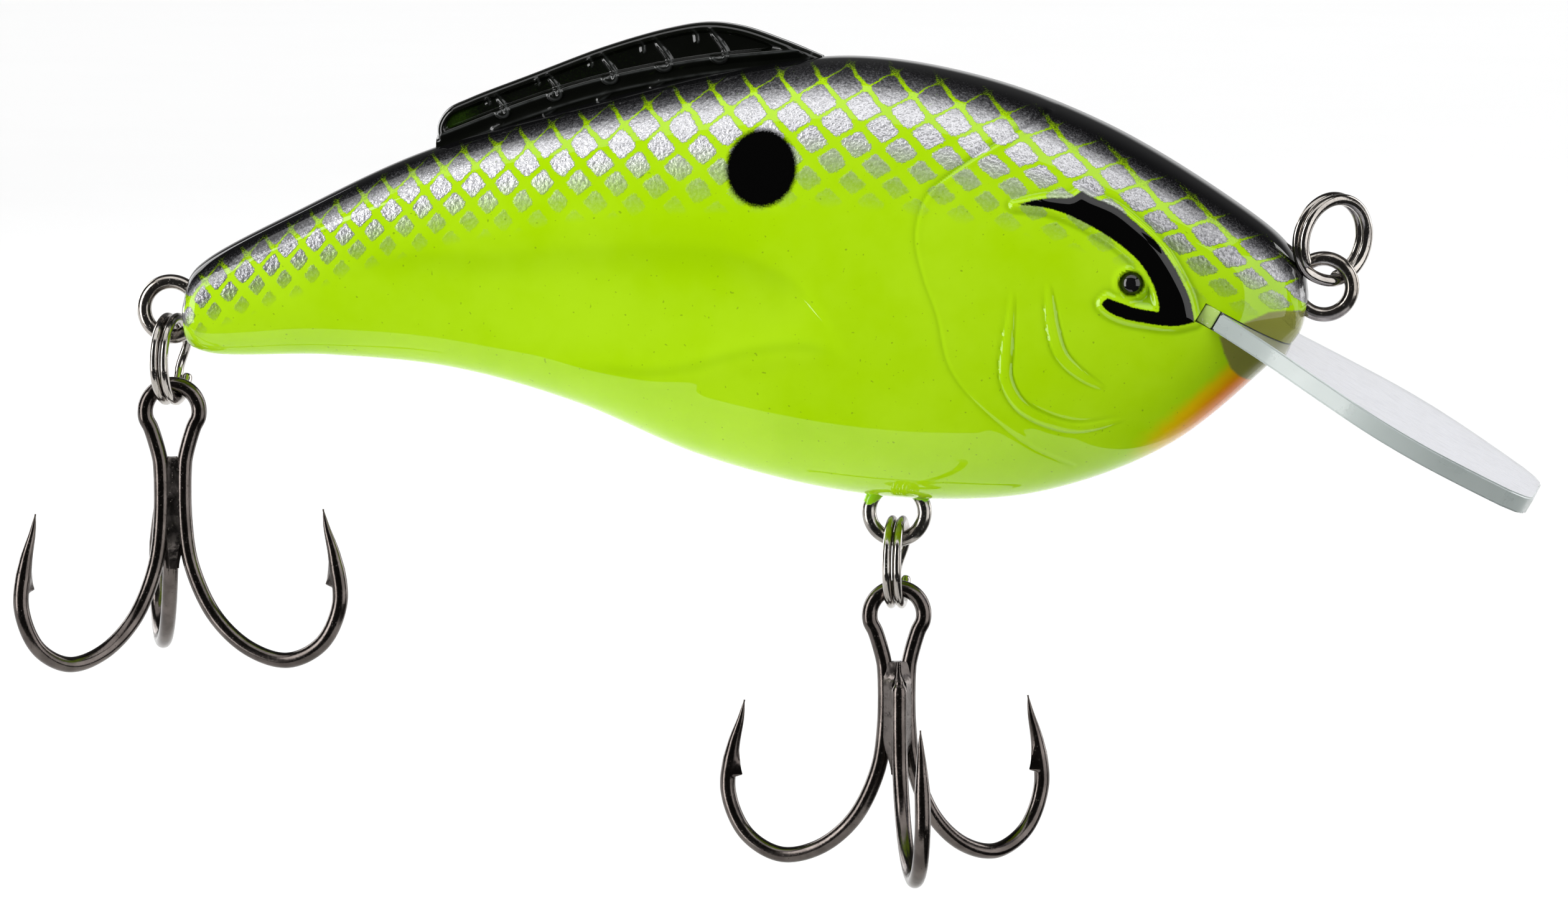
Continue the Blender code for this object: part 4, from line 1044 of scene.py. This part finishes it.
def end_profile(path, from_start):
    """Wire half size and barb height along a path whose point is at its start or at its end."""
    travelled = np.concatenate([[0.0], np.cumsum(np.linalg.norm(np.diff(path, axis=0), axis=1))])
    left = travelled if from_start else travelled[-1] - travelled
    size = HOOK_WIRE / 2 * np.maximum(0.05, np.minimum(1.0, left / POINT_TAPER)) ** 0.72
    rise = (left - (BARB_BACK - BARB_LENGTH)) / BARB_LENGTH
    slope = np.clip(rise, 0, 1) * (rise <= 1.0)
    fall = np.clip(1 - (rise - 1.0) / 0.12, 0, 1) * (rise > 1.0)
    return size, BARB_STAND * np.maximum(slope, fall)


def barb_swell(heights, inner):
    """Pushes the inner side of a wire out into a thin wedge."""
    def swell(directions):
        facing = np.clip(directions @ inner, 0, 1) ** 14
        return inner * (facing * heights[:, None])[..., None]
    return swell


def bent_pair_controls(single_angle, axis):
    """The double hook's wire: point, bend, shank, round the eye, and down again."""
    shank_half = SHANK_RADIUS * math.sin(THIRD / 2)
    half_loop = [(shank_half, EYE_NECK - 0.6), (shank_half + 0.1, EYE_NECK + 0.1)]
    for turn in map(math.radians, EYE_TURNS):
        half_loop.append((EYE_HALF_WIDTH * math.cos(turn), EYE_HALF_WIDTH * (math.sin(turn) - 1)))
    loop = half_loop + [(-x, z) for x, z in reversed(half_loop[:-1])]
    controls = list(reversed(arm_controls(single_angle + THIRD, axis)))
    controls += [across_plane(single_angle) * x + np.array([0, 0, z]) for x, z in loop]
    return controls + arm_controls(single_angle - THIRD, axis)


def treble(name, single_angle, place, wires, brazes):
    """Two hooks and the eye of one wire, a third hook beside them, and the braze that joins them."""
    axis = plane_point(single_angle, SHANK_RADIUS / 2)
    first, second = single_angle + THIRD, single_angle - THIRD
    path = resample(curve_through(bent_pair_controls(single_angle, axis), 14), PAIR_STEPS)
    size_start, barb_start = end_profile(path, True)
    size_end, barb_end = end_profile(path, False)
    size = np.minimum(size_start, size_end)
    swell_start = barb_swell(barb_start, -plane_point(first, 1))
    swell_end = barb_swell(barb_end, -plane_point(second, 1))
    shape = wire(path, size, size, across_plane(first), lambda out: swell_start(out) + swell_end(out))
    placed_piece(name + "_bent_pair", shape, place, wires, name, name + "_double_hook")

    controls = [plane_point(single_angle, SHANK_RADIUS, SINGLE_TOP) + axis] + arm_controls(single_angle, axis)
    path = resample(curve_through(controls, 14), SINGLE_STEPS)
    size, barb = end_profile(path, False)
    size = size * (1 - 0.45 * hill(np.linspace(0, 1, len(path)), 0.012))
    swell = barb_swell(barb, -plane_point(single_angle, 1))
    shape = wire(path, size, size, across_plane(single_angle), swell)
    placed_piece(name + "_single", shape, place, wires, name, name + "_single_hook")

    shape = braze(single_angle, axis)
    placed_piece(name + "_solder", shape, place, brazes, name, name + "_braze", 50.0)


def braze(single_angle, axis):
    """The metal between three shanks: webs that hollow towards the middle, and a saddle under the eye."""
    clear = HOOK_WIRE / 2 - BRAZE_TOUCH
    arc_steps, arc_half = 14, math.radians(80)
    rings = []
    heights = np.linspace(BRAZE_TOP, BRAZE_BOTTOM, BRAZE_STEPS)
    for height in heights:
        from_top = (BRAZE_TOP - height) / 0.9
        from_bottom = (height - BRAZE_BOTTOM) / 2.6
        scale = 0.62 + 0.38 * math.sqrt(min(1.0, max(0.0, from_top)))
        scale *= 0.45 + 0.55 * float(ease(from_bottom))
        for k in range(3):
            turn = single_angle + k * THIRD
            reach = scale * (0.45 + 0.55 * float(ease(-height, 5.7, 6.5)) if k == 0 else 1.0)
            for step in range(arc_steps + 1):
                roll = turn + math.pi + arc_half - 2 * arc_half * step / arc_steps
                x = SHANK_RADIUS * math.cos(turn) + clear * math.cos(roll)
                y = SHANK_RADIUS * math.sin(turn) + clear * math.sin(roll)
                rings.append((reach * x + axis[0], reach * y + axis[1], height))
    return np.array(rings), tube_faces(len(heights), 3 * (arc_steps + 1))


# ---------------------------------------------------------------- build

def build_pieces():
    """Every visible piece, with its material."""
    paint, fin_black = shell_paint(), fin_paint()
    for half, side in HALVES:
        skin(half, side, paint)
        fin(half, side, fin_black)
    lip(polycarbonate(), cut_edge())
    glue(adhesive())
    gloss = bead_gloss()
    for half, side in HALVES:
        bead(half, side, gloss)

    steel = metal("hanger_steel", (0.42, 0.39, 0.36), (0.26, 0.235, 0.21), 0.16)
    painted_steel = metal("painted_hanger_steel", (0.36, 0.34, 0.31), (0.2, 0.185, 0.17), 0.18,
                          paint_above=BELLY_PAINT_EDGE)
    nickel = metal("ring_nickel", (0.46, 0.43, 0.40), (0.29, 0.27, 0.25), 0.12)
    dark = metal("hook_black_nickel", (0.125, 0.108, 0.10), (0.07, 0.06, 0.055), 0.17)
    hanger("line_tie", LINE_TIE_EYE, math.radians(167), steel, "line_tie_hanger")
    hanger("belly_eye", BELLY_EYE, math.radians(90), painted_steel, "belly_hanger")
    hanger("tail_eye", TAIL_EYE, 0.0, steel, "tail_hanger")
    nose_place = ring_place(LINE_TIE_EYE, NOSE_RING_OFFSET, NOSE_RING_TURN - math.pi / 2, NOSE_RING_LEAN,
                            math.radians(20))
    split_ring("nose", nose_place, nickel)
    for where, eye, turn in (("belly", BELLY_EYE, 0.0), ("tail", TAIL_EYE, TAIL_RING_TURN)):
        split_ring(where, ring_place(eye, -HOOK_RING_OFFSET, turn, 0.0, math.radians(130)), nickel)
    solder = braze_metal()
    for name, eye, angle in (("belly_treble", BELLY_EYE, BELLY_SINGLE_ANGLE),
                             ("tail_treble", TAIL_EYE, TAIL_SINGLE_ANGLE)):
        top = eye[1] - HOOK_RING_OFFSET - HOOK_FROM_RING
        treble(name, angle, Matrix.Translation(Vector((eye[0], 0, top)) * MM), dark, solder)


def finish_inner_nodes():
    """The weight and the rattle balls keep their CAD meshes and get real metal."""
    lead = cast_metal("cast_ballast", (0.32, 0.32, 0.34), (0.18, 0.18, 0.19), 0.5, 0.5)
    ball = cast_metal("ball_steel", (0.62, 0.61, 0.60), (0.50, 0.49, 0.48), 0.8, 0.18)
    for name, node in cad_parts.items():
        if name == "belly_weight" or name.startswith("rattle_ball"):
            node.data.materials.clear()
            node.data.materials.append(lead if name == "belly_weight" else ball)


def floor():
    """A wide pale floor under the lure. It ends close to the front, and has its front right corner cut away so
    that the throat doesn't mirror it."""
    height = FLOOR_HEIGHT * MM
    mesh = bpy.data.meshes.new("floor")
    mesh.from_pydata([(x, y, height) for x, y in FLOOR_OUTLINE_M], [], [tuple(range(len(FLOOR_OUTLINE_M)))])
    mesh.materials.append(floor_paper())
    linked("floor", mesh)


def soft_light(name, place, target, size, power):
    """A rectangular softbox; places and sizes are in metres."""
    data = bpy.data.lights.new(name, "AREA")
    data.shape = "RECTANGLE"
    data.size, data.size_y = size
    data.energy = power
    made = linked(name, data)
    made.location = place
    made.rotation_euler = (Vector(target) - Vector(place)).to_track_quat("-Z", "Y").to_euler()
    return made


def lights():
    """Softboxes, a wash on the floor, and a white world that reflections see as dark in front and bright behind."""
    for name, place, size, power in SOFTBOXES:
        soft_light(name, place, LIGHTS_AIM, size, power)
    wash = soft_light("floor_wash", (0.0, 1.8, 1.6), (0.0, 1.8, -0.075), (3.5, 2.5), 50.0)
    wash.visible_glossy = False
    world = bpy.data.worlds.new("studio")
    world.use_nodes = True
    nodes, links = world.node_tree.nodes, world.node_tree.links
    seen = nodes.new("ShaderNodeLightPath")
    direction = nodes.new("ShaderNodeSeparateXYZ")
    links.new(nodes.new("ShaderNodeTexCoord").outputs["Generated"], direction.inputs[0])
    low = smooth_range(nodes, links, direction.outputs["Z"], 0.2, 0.42, WORLD_BACKDROP, WORLD_OVERHEAD)
    behind = smooth_range(nodes, links, direction.outputs["Y"], 0.35, 0.8, WORLD_MIRRORED, low)
    indirect = nodes.new("ShaderNodeMapRange")
    indirect.inputs["To Min"].default_value = WORLD_FILL
    links.new(behind, indirect.inputs["To Max"])
    strength = nodes.new("ShaderNodeMapRange")
    strength.inputs["To Max"].default_value = WORLD_SEEN
    links.new(seen.outputs["Is Glossy Ray"], indirect.inputs["Value"])
    links.new(indirect.outputs[0], strength.inputs["To Min"])
    links.new(seen.outputs["Is Camera Ray"], strength.inputs["Value"])
    links.new(strength.outputs[0], nodes["Background"].inputs["Strength"])
    nodes["Background"].inputs["Color"].default_value = (1, 1, 1, 1)
    bpy.context.scene.world = world
    bpy.context.scene.view_settings.view_transform = "Standard"


def camera():
    """The photo's view: a long lens, a little from the front and from above."""
    data = bpy.data.cameras.new("camera")
    data.lens = LENS
    data.sensor_width = SENSOR_WIDTH
    data.clip_start = 0.01
    data.clip_end = 20.0
    made = linked("camera", data)
    back = Vector((math.sin(CAMERA_AZIMUTH) * math.cos(CAMERA_ELEVATION),
                   -math.cos(CAMERA_AZIMUTH) * math.cos(CAMERA_ELEVATION), math.sin(CAMERA_ELEVATION)))
    made.location = Vector(CAMERA_TARGET) * MM + back * CAMERA_DISTANCE_M
    made.rotation_euler = back.to_track_quat("Z", "Y").to_euler()
    bpy.context.scene.camera = made


camera()
build_pieces()
finish_inner_nodes()
floor()
lights()
